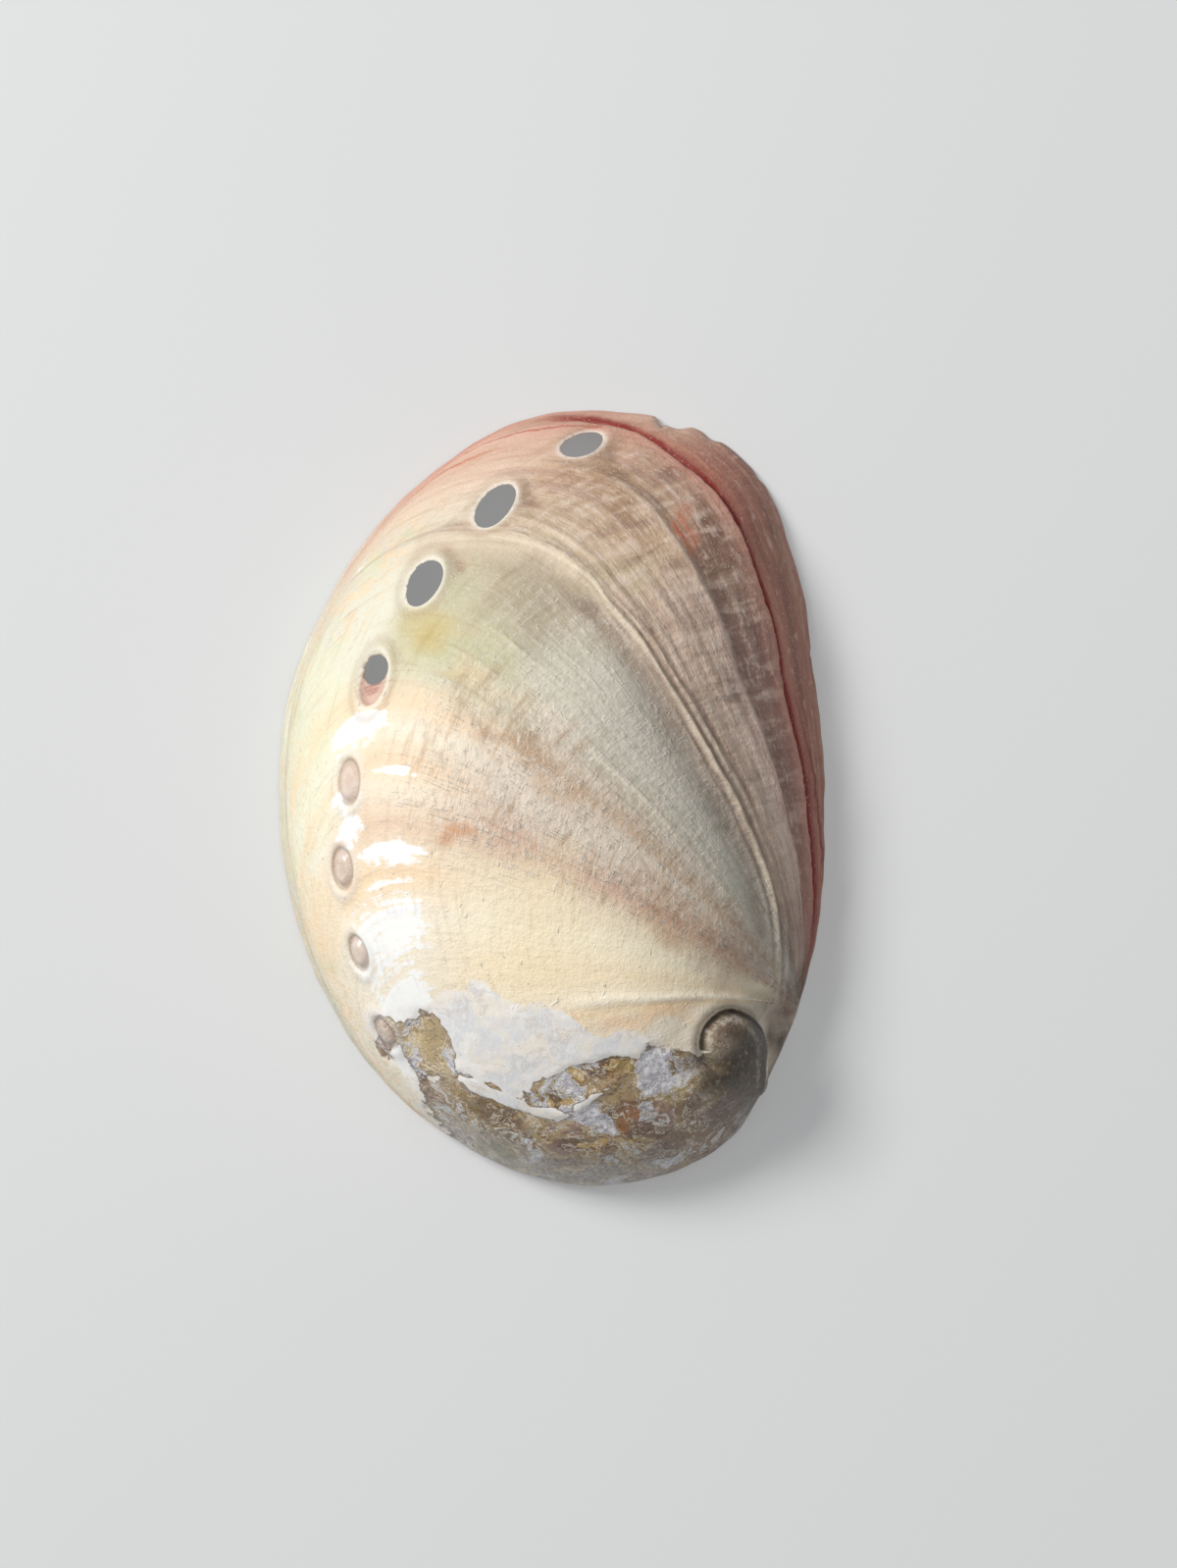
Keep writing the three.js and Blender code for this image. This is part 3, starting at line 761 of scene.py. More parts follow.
# The old ridge: a main crest, smaller ones beside it that come and go, a hollow behind.
gap = on_shell("ridge_gap") + lumps(0.14, 3.0) * 0.45
crest = (gap - 1.15).bell(0.30) * 0.8 + (gap - 2.5).bell(0.42) * 0.6 + (gap + 0.95).bell(0.28) * 0.4
crest = crest * (0.65 + lumps(0.15, 2.0)).at_least(0.0) * (0.25 + cord_w.rise(62.0, 36.0) * 0.75)
crest = crest + gap.bell(0.34 + cord_w.rise(28.0, 60.0) * 0.5) * (1.0 + lumps(0.5, 2.0) * 0.5)
crest = crest + (gap - 5.0).bell(0.7) * 0.3 + gap.at_least(0.0).bell(3.5) * 0.5
crest = crest - (gap + 2.4).bell(1.5) * 0.6
crest = crest * on_shell("ridge_high") * size_of["Ridge height"]
wavy_age = age_w + lumps(0.12, 3.0) * 0.9
for rib_age, width, high, (start, end) in YOUNG_RIBS:
    rib = (wavy_age - rib_age).bell(width) * size_of["Rib height"] * high * (0.8 + lumps(0.22) * 0.8)
    crest = crest + rib * over_run(cord_w, start, end)

# Two thin old lines and a soft shoulder behind the newest growth.
near_age = age_w + lumps(0.3, 3.0) * 0.8
scar = (near_age - SCAR_AGE).bell(0.7) * cord_w.rise(34.0, 22.0) * cord_w.rise(-26.0, -14.0)
old_line = (near_age - OLD_LINE_AGE).bell(1.5) * cord_w.rise(26.0, 12.0)
shoulder = (age_w + lumps(0.2, 3.0) * 0.8).rise(11.6, 13.4) * age_w.rise(24.0, 15.0)
shoulder = shoulder * cord_w.rise(66.0, 46.0) * cord_w.rise(-20.0, -6.0)
crest = crest + scar * 0.22 + old_line * 0.3 + shoulder * 0.45

# The newest step, where the older edge stands over the band that came after it.
gap = on_shell("step_gap") + lumps(0.6, 3.0) * 0.28
shelf = gap.at_most(0.0).bell(3.2) * gap.rise(0.22, -0.12) - (gap - 0.35).bell(0.32) * 0.75
shelf = shelf * on_shell("step_high") * size_of["Step height"]
pits = add_node(relief, "ShaderNodeTexVoronoi", {}, {"Vector": here_mm, "Scale": 0.85, "Randomness": 1.0})
pits = pits.rise(0.30, 0.05) * lumps(0.12).rise(-0.1, 0.5) * size_of["Pit depth"]
eaten = worn * size_of["Worn depth"] * (1.0 + lumps(0.5, 4.0) * 1.1)
height = ((cords + ribs) * sound + crest + shelf - eaten) * near_pores - pits * sound
height = height * on_shell("outside") * on_shell("edge_gap").rise(0.0, 0.8) * 0.001
normal = add_node(relief, "GeometryNodeInputNormal")
push = vector_sum(relief, "SCALE", {0: normal, "Scale": height})
plain_shell = Wire(relief, entry.outputs[0])
moved = add_node(relief, "GeometryNodeSetPosition", {}, {"Geometry": plain_shell, "Offset": push})
realized = add_node(relief, "GeometryNodeRealizeInstances", {}, {"Geometry": moved})

# ------------------------------------------------------------------ the outer layer
# Chalky prismatic shell laid down in bands, cream and grey-green with pink-brown and
# red food stains, rubbed through to white nacre by the pores and to brown at the back.


def tint(red, green, blue):
    """A display colour, 0 to 255, as linear numbers."""
    linear = []
    for level in (red / 255, green / 255, blue / 255):
        linear.append(level / 12.92 if level <= 0.04045 else ((level + 0.055) / 1.055) ** 2.4)
    return (*linear, 1.0)


outside = bpy.data.materials.new("outer_layer")
outside.use_nodes = True
paint = outside.node_tree
paint.nodes.clear()
spot = in_millimetres(paint, add_node(paint, "ShaderNodeTexCoord", out=3))


def kept(tree, name, out=2):
    """A number kept on the shell, or a colour where out is 1."""
    return add_node(tree, "ShaderNodeAttribute", {"attribute_name": name}, out=out)


def grain(tree, vector, scale, detail=3.0, roughness=0.5):
    """Noise about zero."""
    values = {"Vector": vector, "Scale": scale, "Detail": detail, "Roughness": roughness}
    return (add_node(tree, "ShaderNodeTexNoise", {}, values) - 0.5) * 2.0


def blend(tree, share, first, second, how="MIX"):
    """Second colour over first by a share."""
    settings = {"data_type": "RGBA", "blend_type": how}
    return add_node(tree, "ShaderNodeMix", settings, {0: share, 6: first, 7: second}, out=2)


def wash(under, share, shade, how="MIX"):
    """The outer layer's colour so far, with a stain laid over it by a share."""
    return blend(paint, share, under, tint(*shade), how)


# The age, in degrees, at the end of every run of colours.
AGE_SPAN = 130.0


def ages_to_colour(age, stops):
    """A run of colours by age in degrees."""
    run = add_node(paint, "ShaderNodeValToRGB", {}, {0: age / AGE_SPAN})
    ends = run.socket.node.color_ramp.elements
    for end, (stop_age, shade) in zip(ends, (stops[0], stops[-1])):
        end.position = stop_age / AGE_SPAN
        end.color = tint(*shade)
    for stop_age, shade in stops[1:-1]:
        ends.new(stop_age / AGE_SPAN).color = tint(*shade)
    return run


wander = add_node(paint, "ShaderNodeTexNoise", {}, {"Vector": spot, "Scale": 0.16, "Detail": 4.0}, out=1)
wander = vector_sum(paint, "SUBTRACT", {0: wander, 1: (0.5, 0.5, 0.5)})
wander = vector_sum(paint, "SCALE", {0: wander, "Scale": 6.0})
loose = vector_sum(paint, "ADD", {0: spot, 1: wander})

# Patches are laid as soft ovals, with an uneven outline.
sway_x = place[:, 0] + 0.9 * np.sin(0.55 * place[:, 1] + 0.3 * place[:, 0] + 1.0)
sway_x += 0.5 * np.sin(1.25 * place[:, 1] - 0.8 * place[:, 0])
sway_y = place[:, 1] + 0.9 * np.sin(0.5 * place[:, 0] - 0.35 * place[:, 1] + 2.0)
sway_y += 0.5 * np.sin(1.1 * place[:, 0] + 0.9 * place[:, 1] + 0.6)


def oval(centre, half, turn, soft=0.6):
    """One inside a soft oval on the shell, zero outside it."""
    c, s = math.cos(math.radians(turn)), math.sin(math.radians(turn))
    along = ((sway_x - centre[0]) * c + (sway_y - centre[1]) * s) / half[0]
    across = ((sway_y - centre[1]) * c - (sway_x - centre[0]) * s) / half[1]
    return 1 - ease(np.hypot(along, across), 1 - soft, 1 + soft)


def lay_patches(name, patches):
    """Keeps the colour of overlapping patches, later ones on top, and how much they cover."""
    cover, stain = np.zeros(count), np.zeros((count, 3))
    for centre, half, turn, shade, strength in patches:
        there = strength * oval(centre, half, turn)
        stain = stain * (1 - there)[:, None] + there[:, None] * np.array(tint(*shade)[:3])
        cover = 1 - (1 - cover) * (1 - there)
    keep(name + "_colour", stain / np.maximum(cover, 1e-4)[:, None], "FLOAT_VECTOR")
    keep(name + "_cover", cover)


age_p, cord_p = kept(paint, "age"), kept(paint, "cord")


def along_growth(fine_age, fine_cord, detail=4.0, roughness=0.55, seed=0.47):
    """Noise drawn out along the old margins, or across them when the cord is finer."""
    values = {0: age_p * fine_age, 1: cord_p * fine_cord, 2: seed}
    vector = add_node(paint, "ShaderNodeCombineXYZ", {}, values)
    return grain(paint, vector, 1.0, detail, roughness)


fine = grain(paint, spot, 1.1, 4.0)
dust = grain(paint, spot, 3.0, 3.0, 0.6)
cloud = grain(paint, loose, 0.28, 4.0, 0.6)
lines = along_growth(1.5, 0.07)
lines_wide = along_growth(0.55, 0.035, 3.0, 0.5, 3.31)
spirals = along_growth(0.10, 0.65, 4.0, 0.6, 7.57)

# The run of colours by age: down the lip side, down the pore side, and on the flank.
LIP_SIDE = [
    (0, (150, 112, 98)), (5, (152, 122, 110)), (8, (146, 116, 106)), (11.5, (150, 120, 108)),
    (12.4, (198, 164, 150)), (14.5, (214, 192, 178)), (19, (208, 184, 166)), (24, (206, 186, 166)),
    (26.5, (170, 152, 138)), (29.5, (197, 189, 177)), (34, (211, 205, 192)), (40, (208, 202, 188)),
    (43.5, (220, 208, 190)), (46, (210, 196, 178)), (51, (206, 180, 154)), (54, (222, 208, 190)),
    (60, (220, 206, 190)), (64, (216, 194, 174)), (67, (208, 176, 156)), (70, (220, 192, 168)),
    (75, (238, 222, 194)), (85, (250, 239, 212)), (96, (252, 234, 200)), (104, (252, 240, 216)),
    (108, (246, 222, 186)), (114, (240, 228, 208)),
]
PORE_SIDE = [
    (0, (206, 160, 140)), (5, (204, 172, 150)), (10, (186, 156, 132)), (15, (204, 178, 152)),
    (20, (196, 172, 146)), (25, (218, 198, 170)), (30, (194, 182, 158)), (36, (194, 188, 160)),
    (42, (200, 192, 156)), (48, (214, 208, 180)), (52.5, (240, 214, 182)), (56, (240, 230, 210)),
    (61, (242, 214, 182)), (65, (242, 228, 206)), (70, (230, 204, 178)), (74, (238, 220, 194)),
    (78, (246, 220, 186)), (84, (246, 236, 216)), (100, (242, 230, 206)), (114, (236, 232, 222)),
]
FLANK = [
    (0, (208, 152, 134)), (4, (222, 182, 162)), (9, (214, 178, 156)), (15, (226, 200, 178)),
    (24, (220, 210, 190)), (32, (224, 220, 201)), (46, (227, 224, 207)), (51.5, (242, 214, 180)),
    (55, (234, 230, 210)), (60, (240, 235, 216)), (62.5, (246, 220, 188)), (66, (242, 236, 218)),
    (71, (247, 230, 204)), (76, (246, 232, 208)), (82, (246, 236, 216)), (114, (246, 238, 222)),
]
when = age_p + grain(paint, spot, 0.22, 4.0, 0.6) * 1.5 + lines * 0.5
lip_side = ages_to_colour(when, LIP_SIDE)
pore_side = ages_to_colour(when, PORE_SIDE)
flank = ages_to_colour(when, FLANK)
where = cord_p + grain(paint, spot, 0.16, 4.0, 0.6) * 7.0
colour = blend(paint, where.rise(34.0, 52.0), lip_side, pore_side)
ivory = where.rise(100.0, 122.0) * age_p.rise(52.0, 34.0)
flank = wash(flank, ivory, (229, 226, 208))
colour = blend(paint, where.rise(62.0, 74.0), colour, flank)

# Green-yellow, peach and white mottling down the flank.
flank_here = cord_p.rise(70.0, 84.0) * age_p.rise(14.0, 24.0).at_least(cord_p.rise(116.0, 128.0))
damp = grain(paint, spot, 0.33, 4.0, 0.6)
rust = grain(paint, loose, 0.24, 5.0, 0.65)
colour = wash(colour, flank_here * damp.rise(0.02, 0.35) * 0.55, (214, 218, 180))
colour = wash(colour, flank_here * damp.rise(-0.1, -0.4) * 0.55, (248, 222, 190))
colour = wash(colour, flank_here * (rust - 0.12).bell(0.05) * 0.5, (242, 206, 160))
colour = wash(colour, flank_here * rust.rise(-0.18, -0.4) * 0.6, (250, 246, 238))

# Blotches: centre, half sizes, turn, colour, strength. Most are stains of weed and rust. By the coil, under
# the end of the lip, the dark brown ones are partly painted shade. The last ones darken the dimple in front
# of each open pore.
BLOTCHES = [
    ((-12.8, 19.2), (3.4, 2.2), 20, (198, 180, 120), 0.85),
    ((-9.5, 15.6), (5.5, 2.2), -6, (188, 190, 150), 0.6),
    ((-9.6, 13.9), (3.0, 1.4), 0, (206, 192, 150), 0.8),
    ((-9.0, 12.8), (4.0, 1.0), -14, (226, 202, 150), 0.4),
    ((-26.5, 10.0), (4.0, 7.0), 0, (226, 230, 196), 0.5),
    ((-28.0, -2.0), (3.0, 8.0), 0, (232, 232, 204), 0.45),
    ((-3.0, 22.0), (5.4, 4.0), -10, (168, 152, 128), 0.8),
    ((7.0, 25.0), (4.5, 2.4), -38, (182, 172, 132), 0.5),
    ((-12.5, 28.5), (5.0, 1.6), 12, (190, 162, 134), 0.6),
    ((6.4, 35.0), (4.6, 2.0), -34, (150, 122, 94), 0.85),
    ((9.5, 31.5), (9.0, 2.6), -42, (170, 140, 110), 0.5),
    ((18.2, 28.8), (4.8, 1.7), -64, (116, 84, 66), 0.95),
    ((20.8, 21.5), (4.4, 1.0), -70, (120, 92, 82), 0.55),
    ((5.6, 20.4), (4.0, 1.4), -46, (142, 122, 104), 0.8),
    ((12.2, 36.0), (3.4, 2.2), -40, (168, 142, 120), 0.5),
    ((2.5, 36.5), (5.0, 1.4), -24, (190, 152, 122), 0.55),
    ((-9.8, -4.6), (2.2, 1.0), 0, (206, 150, 108), 0.8),
    ((-4.6, 6.4), (5.8, 0.7), -33, (164, 128, 96), 0.6),
    ((1.0, 1.6), (4.0, 1.2), -34, (196, 160, 128), 0.55),
    ((14.0, -13.0), (6.5, 2.6), -30, (196, 160, 130), 0.7),
    ((20.0, -18.0), (3.6, 2.8), -50, (166, 132, 112), 0.6),
    ((11.0, -24.6), (4.0, 1.2), 6, (244, 200, 150), 0.55),
    ((-1.0, -14.0), (5.0, 8.0), 0, (246, 230, 192), 0.5),
    ((-27.0, -14.0), (2.4, 6.0), 16, (246, 222, 184), 0.5),
    # Dark brown under the end of the lip beside the coil: its own colour with painted shade.
    ((27.0, -27.0), (2.6, 6.0), -16, (128, 104, 92), 0.9),
    ((24.6, -22.8), (2.2, 1.5), -40, (130, 116, 100), 0.6),
    # Painted shade between the coil and the lowered lip behind it.
    ((26.2, -31.0), (1.6, 3.6), 0, (88, 78, 66), 0.95),
    ((26.6, -34.4), (2.4, 3.0), -25, (104, 90, 76), 0.9),
    ((28.8, -16.0), (2.2, 7.0), -8, (140, 114, 102), 0.6),
]
for x, y, half_long, half_wide, turn in OPEN_PORES:
    toward = math.radians(turn - 28)
    centre = (x + math.cos(toward) * (half_long + 1.5), y + math.sin(toward) * (half_long + 1.5))
    BLOTCHES.append((centre, (1.3, 1.0), turn, (150, 112, 84), 0.5))
lay_patches("blotch", BLOTCHES)
share = (kept(paint, "blotch_cover") * (0.85 + cloud * 0.7)).at_least(0.0).at_most(1.0)
colour = blend(paint, share, colour, kept(paint, "blotch_colour", out=1))

# Faint green and pink through the grey middle, chalk marks round the stained bands.
middle = age_p.rise(24.0, 30.0) * age_p.rise(56.0, 44.0) * cord_p.rise(62.0, 44.0)
colour = wash(colour, middle * cloud.rise(0.0, 0.5) * 0.35, (180, 184, 164))
colour = wash(colour, middle * cloud.rise(0.0, -0.5) * 0.4, (212, 198, 188))
old_lines = along_growth(0.8, 0.045, 3.0, 0.5, 15.61)
beads = old_lines.rise(0.0, 0.35) * spirals.rise(0.0, 0.4)
colour = wash(colour, middle * old_lines.rise(0.0, -0.4) * 0.35, (168, 164, 150))
beaded = (beads + old_lines.rise(0.15, 0.4) * 0.4).at_most(1.0)
colour = wash(colour, middle * beaded * 0.45, (224, 218, 204))
colour = wash(colour, middle * fine.rise(0.0, -0.4) * 0.35, (158, 154, 138))
ruled = (old_lines.bell(0.045) + spirals.bell(0.06) * 0.8) * fine.rise(-0.25, 0.3)
ruled = ruled * age_p.rise(21.0, 27.0) * age_p.rise(84.0, 66.0) * cord_p.rise(64.0, 46.0)
colour = wash(colour, ruled.at_most(1.0) * 0.5, (234, 228, 216))
chalky = age_p.rise(38.0, 46.0) * age_p.rise(76.0, 66.0) * cord_p.rise(60.0, 46.0)
scored = {"Vector": spot, "Rotation": (0.0, 0.0, 0.9), "Scale": (2.4, 0.8, 1.0)}
marks = grain(paint, add_node(paint, "ShaderNodeMapping", {}, scored), 1.0, 5.0, 0.65)
colour = wash(colour, chalky * marks.rise(0.05, 0.35) * 0.6, (232, 222, 208))
colour = wash(colour, chalky * marks.rise(-0.05, -0.4) * 0.5, (176, 150, 130))
colour = wash(colour, chalky * spirals.rise(0.05, 0.4) * 0.4, (184, 156, 132))
nicked = {"Vector": loose, "Rotation": (0.0, 0.0, 0.6), "Scale": (1.1, 0.42, 1.0)}
nicked = add_node(paint, "ShaderNodeMapping", {}, nicked)
nicks = add_node(paint, "ShaderNodeTexVoronoi", {}, {"Vector": nicked, "Scale": 0.8, "Randomness": 1.0})
nicks = nicks.rise(0.17, 0.08) * age_p.rise(18.0, 27.0) * cloud.rise(-0.3, 0.2)
colour = wash(colour, nicks * 0.75, (230, 222, 206))

# The young shell in front of the old ridge: growth lines crossed by faint spirals.
young = (kept(paint, "ridge_gap") + fine * 0.3).rise(-0.2, 0.9) * age_p.rise(38.0, 29.0)
right = cord_p.rise(84.0, 60.0)
dashes = along_growth(2.0, 0.45, 3.0, 0.5, 5.43)
cord_rows = along_growth(0.17, 0.5, 2.0, 0.5, 9.37)
woven = young * right
patchy = (grain(paint, loose, 0.16, 3.0) * 1.6 + 0.45).at_least(0.0).at_most(1.0)
faded = cord_p.rise(-22.0, 6.0)
dark_rows = woven * patchy * faded * (cord_rows + fine * 0.2).rise(0.02, 0.34)
colour = wash(colour, dark_rows * 0.75, (134, 108, 94))
colour = wash(colour, woven * faded * (fine * 0.3 - cord_rows).rise(0.0, 0.34) * 0.5, (226, 206, 190))
colour = wash(colour, woven * (dashes + fine * 0.4).rise(0.05, 0.5) * 0.5, (228, 210, 200))
colour = wash(colour, woven * (dashes * 0.6 + lines * 0.6).rise(-0.05, -0.45) * 0.45, (138, 108, 96))
colour = wash(colour, woven * lines_wide.rise(-0.05, -0.4) * 0.4, (142, 108, 94))
wavy = age_p + grain(paint, spot, 0.12, 3.0) * 0.9
# Each young rib gets a painted highlight along it and painted shade just on its younger side.
for rib_age, width, high, (start, end) in YOUNG_RIBS:
    rib_here = over_run(cord_p, start, end) * woven
    lit = (wavy - rib_age).bell(width * 0.8) * rib_here
    lit = lit * (0.6 + cord_rows * 1.2).at_least(0.0).at_most(1.0)
    dim = (wavy - rib_age + width * 2.4).bell(width) * rib_here
    colour = wash(colour, dim * 0.35 * min(high, 1.0), (122, 94, 82))
    colour = wash(colour, lit * 0.6 * min(high, 1.2), (226, 204, 190))
colour = wash(colour, young * lines_wide.rise(0.05, 0.45) * 0.4, (168, 128, 116))
keep("orange_streak", oval((14.9, 30.0), (0.9, 3.0), 34))
orange = kept(paint, "orange_streak") * (lines * 1.4 + fine * 0.5 + 0.65).at_least(0.0)
colour = wash(colour, orange.at_most(1.0) * 0.8, (186, 88, 60))

# The old ridge: cream crests with a painted highlight on them, and painted shade over the purple-brown
# hollow along its older side and in the thin lines between the crests.
ridge = kept(paint, "ridge_gap") + grain(paint, spot, 0.14, 3.0) * 0.45
ridge_here = kept(paint, "ridge_high").rise(0.1, 0.7)
# Painted shade in the hollow along the older side, laid over its own purple-brown.
hollow = (ridge + 1.9).bell(1.3) * ridge_here * cord_p.rise(66.0, 46.0)
colour = wash(colour, hollow * (0.42 + cloud * 0.7).at_least(0.0), (140, 124, 110))
fading = (0.55 + lines_wide * 0.5 + grain(paint, spot, 0.2, 2.0) * 1.2).at_least(0.0)
# Painted highlight along the cream crests of the ridge.
crest_highlights = (ridge - 1.15).bell(0.22) * 0.7 + (ridge + 0.95).bell(0.2) * 0.5
crest_highlights = (crest_highlights + (ridge - 2.5).bell(0.3) * 0.5) * fading
broad_front = cord_p.rise(28.0, 60.0)
crest_highlights = crest_highlights * (1.0 - broad_front * 0.6)
crest_highlights = crest_highlights + ridge.bell(0.27 + broad_front * 0.45) * (1.0 - broad_front * 0.35)
crest_highlights = (crest_highlights * ridge_here).at_most(1.0)
colour = wash(colour, crest_highlights * (0.58 + broad_front * 0.22), (234, 220, 198))
# Painted shade in the thin lines between and beside the crests.
between = ((ridge - 1.8).bell(0.34) + (ridge + 0.5).bell(0.18)) * fading
between = between + (ridge - 0.62 - broad_front * 0.4).bell(0.22)
between = between * (1.0 - broad_front * 0.5)
colour = wash(colour, (between * ridge_here).at_most(1.0) * 0.6, (124, 100, 88))
scar = (when - SCAR_AGE).bell(0.5) * cord_p.rise(34.0, 22.0) * cord_p.rise(-24.0, -14.0)
colour = wash(colour, scar * (0.6 + fine * 0.9).at_least(0.0), (238, 228, 212))
old_line = (when - OLD_LINE_AGE).bell(1.1) * cord_p.rise(24.0, 12.0)
colour = wash(colour, old_line * (0.7 + fine * 0.8).at_least(0.0), (250, 240, 220))

# The newest lip, red-brown, under the crack-like step, and red lines along the front.
step_gap = kept(paint, "step_gap") + grain(paint, spot, 0.6, 3.0) * 0.28
newest = step_gap.rise(0.0, 0.4) * kept(paint, "step_high").rise(0.0, 0.25)
front = cord_p.rise(58.0, 76.0)
colour = wash(colour, newest * 0.92, (166, 110, 92))
colour = wash(colour, newest * (lines + dust * 0.4).rise(-0.1, 0.4) * 0.65, (208, 160, 134))
colour = wash(colour, newest * lines_wide.rise(0.05, -0.35) * 0.65, (124, 76, 60))
colour = wash(colour, newest * dashes.rise(0.15, 0.4) * 0.35, (226, 196, 176))
colour = wash(colour, newest * front * 0.8, (226, 196, 172))
stepped = kept(paint, "step_high").rise(0.05, 0.5)
# A painted highlight along the older edge that stands over the step.
older_edge_highlight = (step_gap + 0.55).bell(0.42) * stepped
colour = wash(colour, older_edge_highlight * 0.5, (216, 176, 158))
stain = (step_gap + 0.3).bell(1.5) * stepped
colour = wash(colour, stain * 0.35, (176, 92, 76))
glow = (step_gap - 1.2).bell(1.1) * stepped
colour = wash(colour, glow * 0.3, (188, 100, 80))
crack = (step_gap - 0.72).bell(0.42) * stepped
colour = wash(colour, crack * 0.95, (136, 30, 26))
second_crack = (step_gap - 1.9).bell(0.2) * stepped
second_crack = second_crack * cord_p.rise(30.0, 14.0) * cord_p.rise(-26.0, -12.0)
colour = wash(colour, second_crack * 0.8, (126, 38, 32))
red_line = (when - 8.6).bell(0.45) * cord_p.rise(80.0, 90.0) * cord_p.rise(128.0, 116.0)
colour = wash(colour, red_line * 0.75, (200, 100, 74))
red_top = (when - 4.6).bell(0.27) * cord_p.rise(66.0, 76.0) * cord_p.rise(118.0, 104.0)
colour = wash(colour, red_top * 0.75, (176, 76, 62))
red_front = kept(paint, "edge_gap").bell(0.45) * cord_p.rise(66.0, 78.0) * cord_p.rise(132.0, 112.0)
colour = wash(colour, red_front * 0.45, (206, 130, 108))

# Bare white nacre rubbed out beside the pore row, in tatters along the growth lines:
# age, age width, cord range.
BARE = [
    (55.4, 2.6, (59, 71)), (62.4, 0.8, (51, 58)), (64.0, 1.5, (62, 68)), (69.6, 3.2, (61, 66)),
    (74.4, 1.8, (49, 60)), (79.0, 0.8, (50, 60)), (86.0, 5.2, (49, 68)), (97.0, 6.0, (52, 76)),
]
bare = None
for middle_age, wide, (start, end) in BARE:
    patch = (age_p - middle_age).bell(wide) * cord_p.rise(start - 4.0, start + 4.0)
    patch = patch * cord_p.rise(end + 5.0, end - 3.0)
    bare = patch if bare is None else bare.at_least(patch)
tatter = lines * 0.9 + lines_wide * 0.3 + fine * 0.7 + cloud * 0.4
bare = (bare * 1.1 + tatter).rise(0.36, 0.80) * bare.rise(0.06, 0.35)
silver = (spirals + lines * 0.5).rise(0.1, 0.5) * 0.5
white = blend(paint, silver, tint(252, 252, 250), tint(226, 228, 236))
colour = blend(paint, bare, colour, white)

# Clouded nacre above the worn ground.
mottle = grain(paint, loose, 0.20, 5.0, 0.62)
CLOUDS = [((-6.5, -27.0), (8.6, 5.2), -8), ((3.5, -27.6), (9.0, 2.4), -6), ((-3.4, -33.6), (10.5, 3.0), -8)]
keep("cloudy", np.max([oval(centre, half, turn, 0.35) for centre, half, turn in CLOUDS], axis=0))
cloudy = (kept(paint, "cloudy") + fine * 0.25 + cloud * 0.35).rise(0.38, 0.55)
milky = blend(paint, cloud.rise(-0.2, 0.25), tint(228, 229, 232), tint(246, 238, 226))
milky = wash(milky, marks.rise(0.0, 0.35) * 0.6, (250, 250, 248))
milky = wash(milky, (mottle - 0.05).bell(0.03) * 0.6, (214, 204, 198))
milky = wash(milky, rust.rise(-0.1, -0.3) * 0.7, (254, 252, 248))
colour = blend(paint, cloudy * 0.95, colour, milky)
bare = bare.at_least(cloudy * 0.8)

# The oldest shell, eaten by weather into islands of brown, olive and lilac mineral.
eaten_gap = kept(paint, "worn_gap") + grain(paint, spot, 0.35, 3.0) * 2.2
coil_gap_p, closed_p = kept(paint, "coil_gap"), kept(paint, "coil_closed").rise(0.3, 0.7)
in_coil = coil_gap_p.rise(0.35, 0.15) * closed_p
by_coil = closed_p * coil_gap_p.rise(0.1, 0.35) * coil_gap_p.rise(6.0, 3.5)
eaten_here = (eaten_gap.rise(0.30, 0.05) * (1.0 - by_coil)).at_least(in_coil)
eaten_rim = (1.0 - by_coil) * (1.0 - in_coil)
specks = grain(paint, spot, 1.7, 5.0, 0.75)
islands = grain(paint, loose, 0.26, 4.0, 0.6)
veins = grain(paint, loose, 0.17, 6.0, 0.65)
brown = blend(paint, mottle.rise(-0.22, 0.22), tint(128, 102, 84), tint(194, 168, 126))
brown = wash(brown, mottle.rise(0.20, 0.30) * 0.8, (182, 162, 112))

# Patches of the worn ground and of the coil: centre, half sizes, turn, colour, strength. On the coil they
# are lighter to the upper left and darker to the right, a painted highlight and painted shade over its own
# dark olive.
WORN_AND_SHADED_PATCHES = [
    ((-14.6, -28.0), (3.6, 4.6), 0, (212, 190, 146), 0.8),
    ((-8.0, -36.6), (6.0, 2.6), -28, (134, 110, 66), 0.6),
    ((13.6, -41.0), (6.0, 2.2), 24, (132, 104, 92), 0.6),
    ((8.8, -36.8), (1.1, 2.4), -36, (178, 120, 60), 0.85),
    ((8.8, -29.8), (2.6, 1.2), 32, (172, 148, 88), 0.8),
    ((20.5, -37.5), (3.6, 2.6), 40, (112, 84, 74), 0.7),
    ((21.2, -30.0), (4.8, 7.0), 8, (84, 71, 56), 0.92),
    # Darker towards the coil's right side, here and in the last patch: painted shade over its own dark
    # olive.
    ((22.2, -30.3), (2.0, 3.4), 0, (58, 50, 38), 0.9),
    ((25.2, -31.5), (2.2, 4.0), 0, (80, 70, 58), 0.9),
    # Lighter at the coil's upper left: a painted highlight.
    ((18.0, -27.6), (1.7, 2.0), 20, (158, 146, 126), 0.6),
    ((24.0, -29.0), (1.2, 4.0), 10, (56, 46, 36), 0.6),
]
lay_patches("worn", WORN_AND_SHADED_PATCHES)
brown = wash(brown, islands.rise(0.12, 0.18) * 0.85, (162, 132, 122))
brown = wash(brown, islands.rise(-0.16, -0.22) * 0.85, (212, 178, 116))
brown = wash(brown, (islands + 0.17).bell(0.025) * 0.8, (122, 78, 38))
share = (kept(paint, "worn_cover") * (0.95 + mottle * 0.6)).at_most(1.0)
brown = blend(paint, share, brown, kept(paint, "worn_colour", out=1))
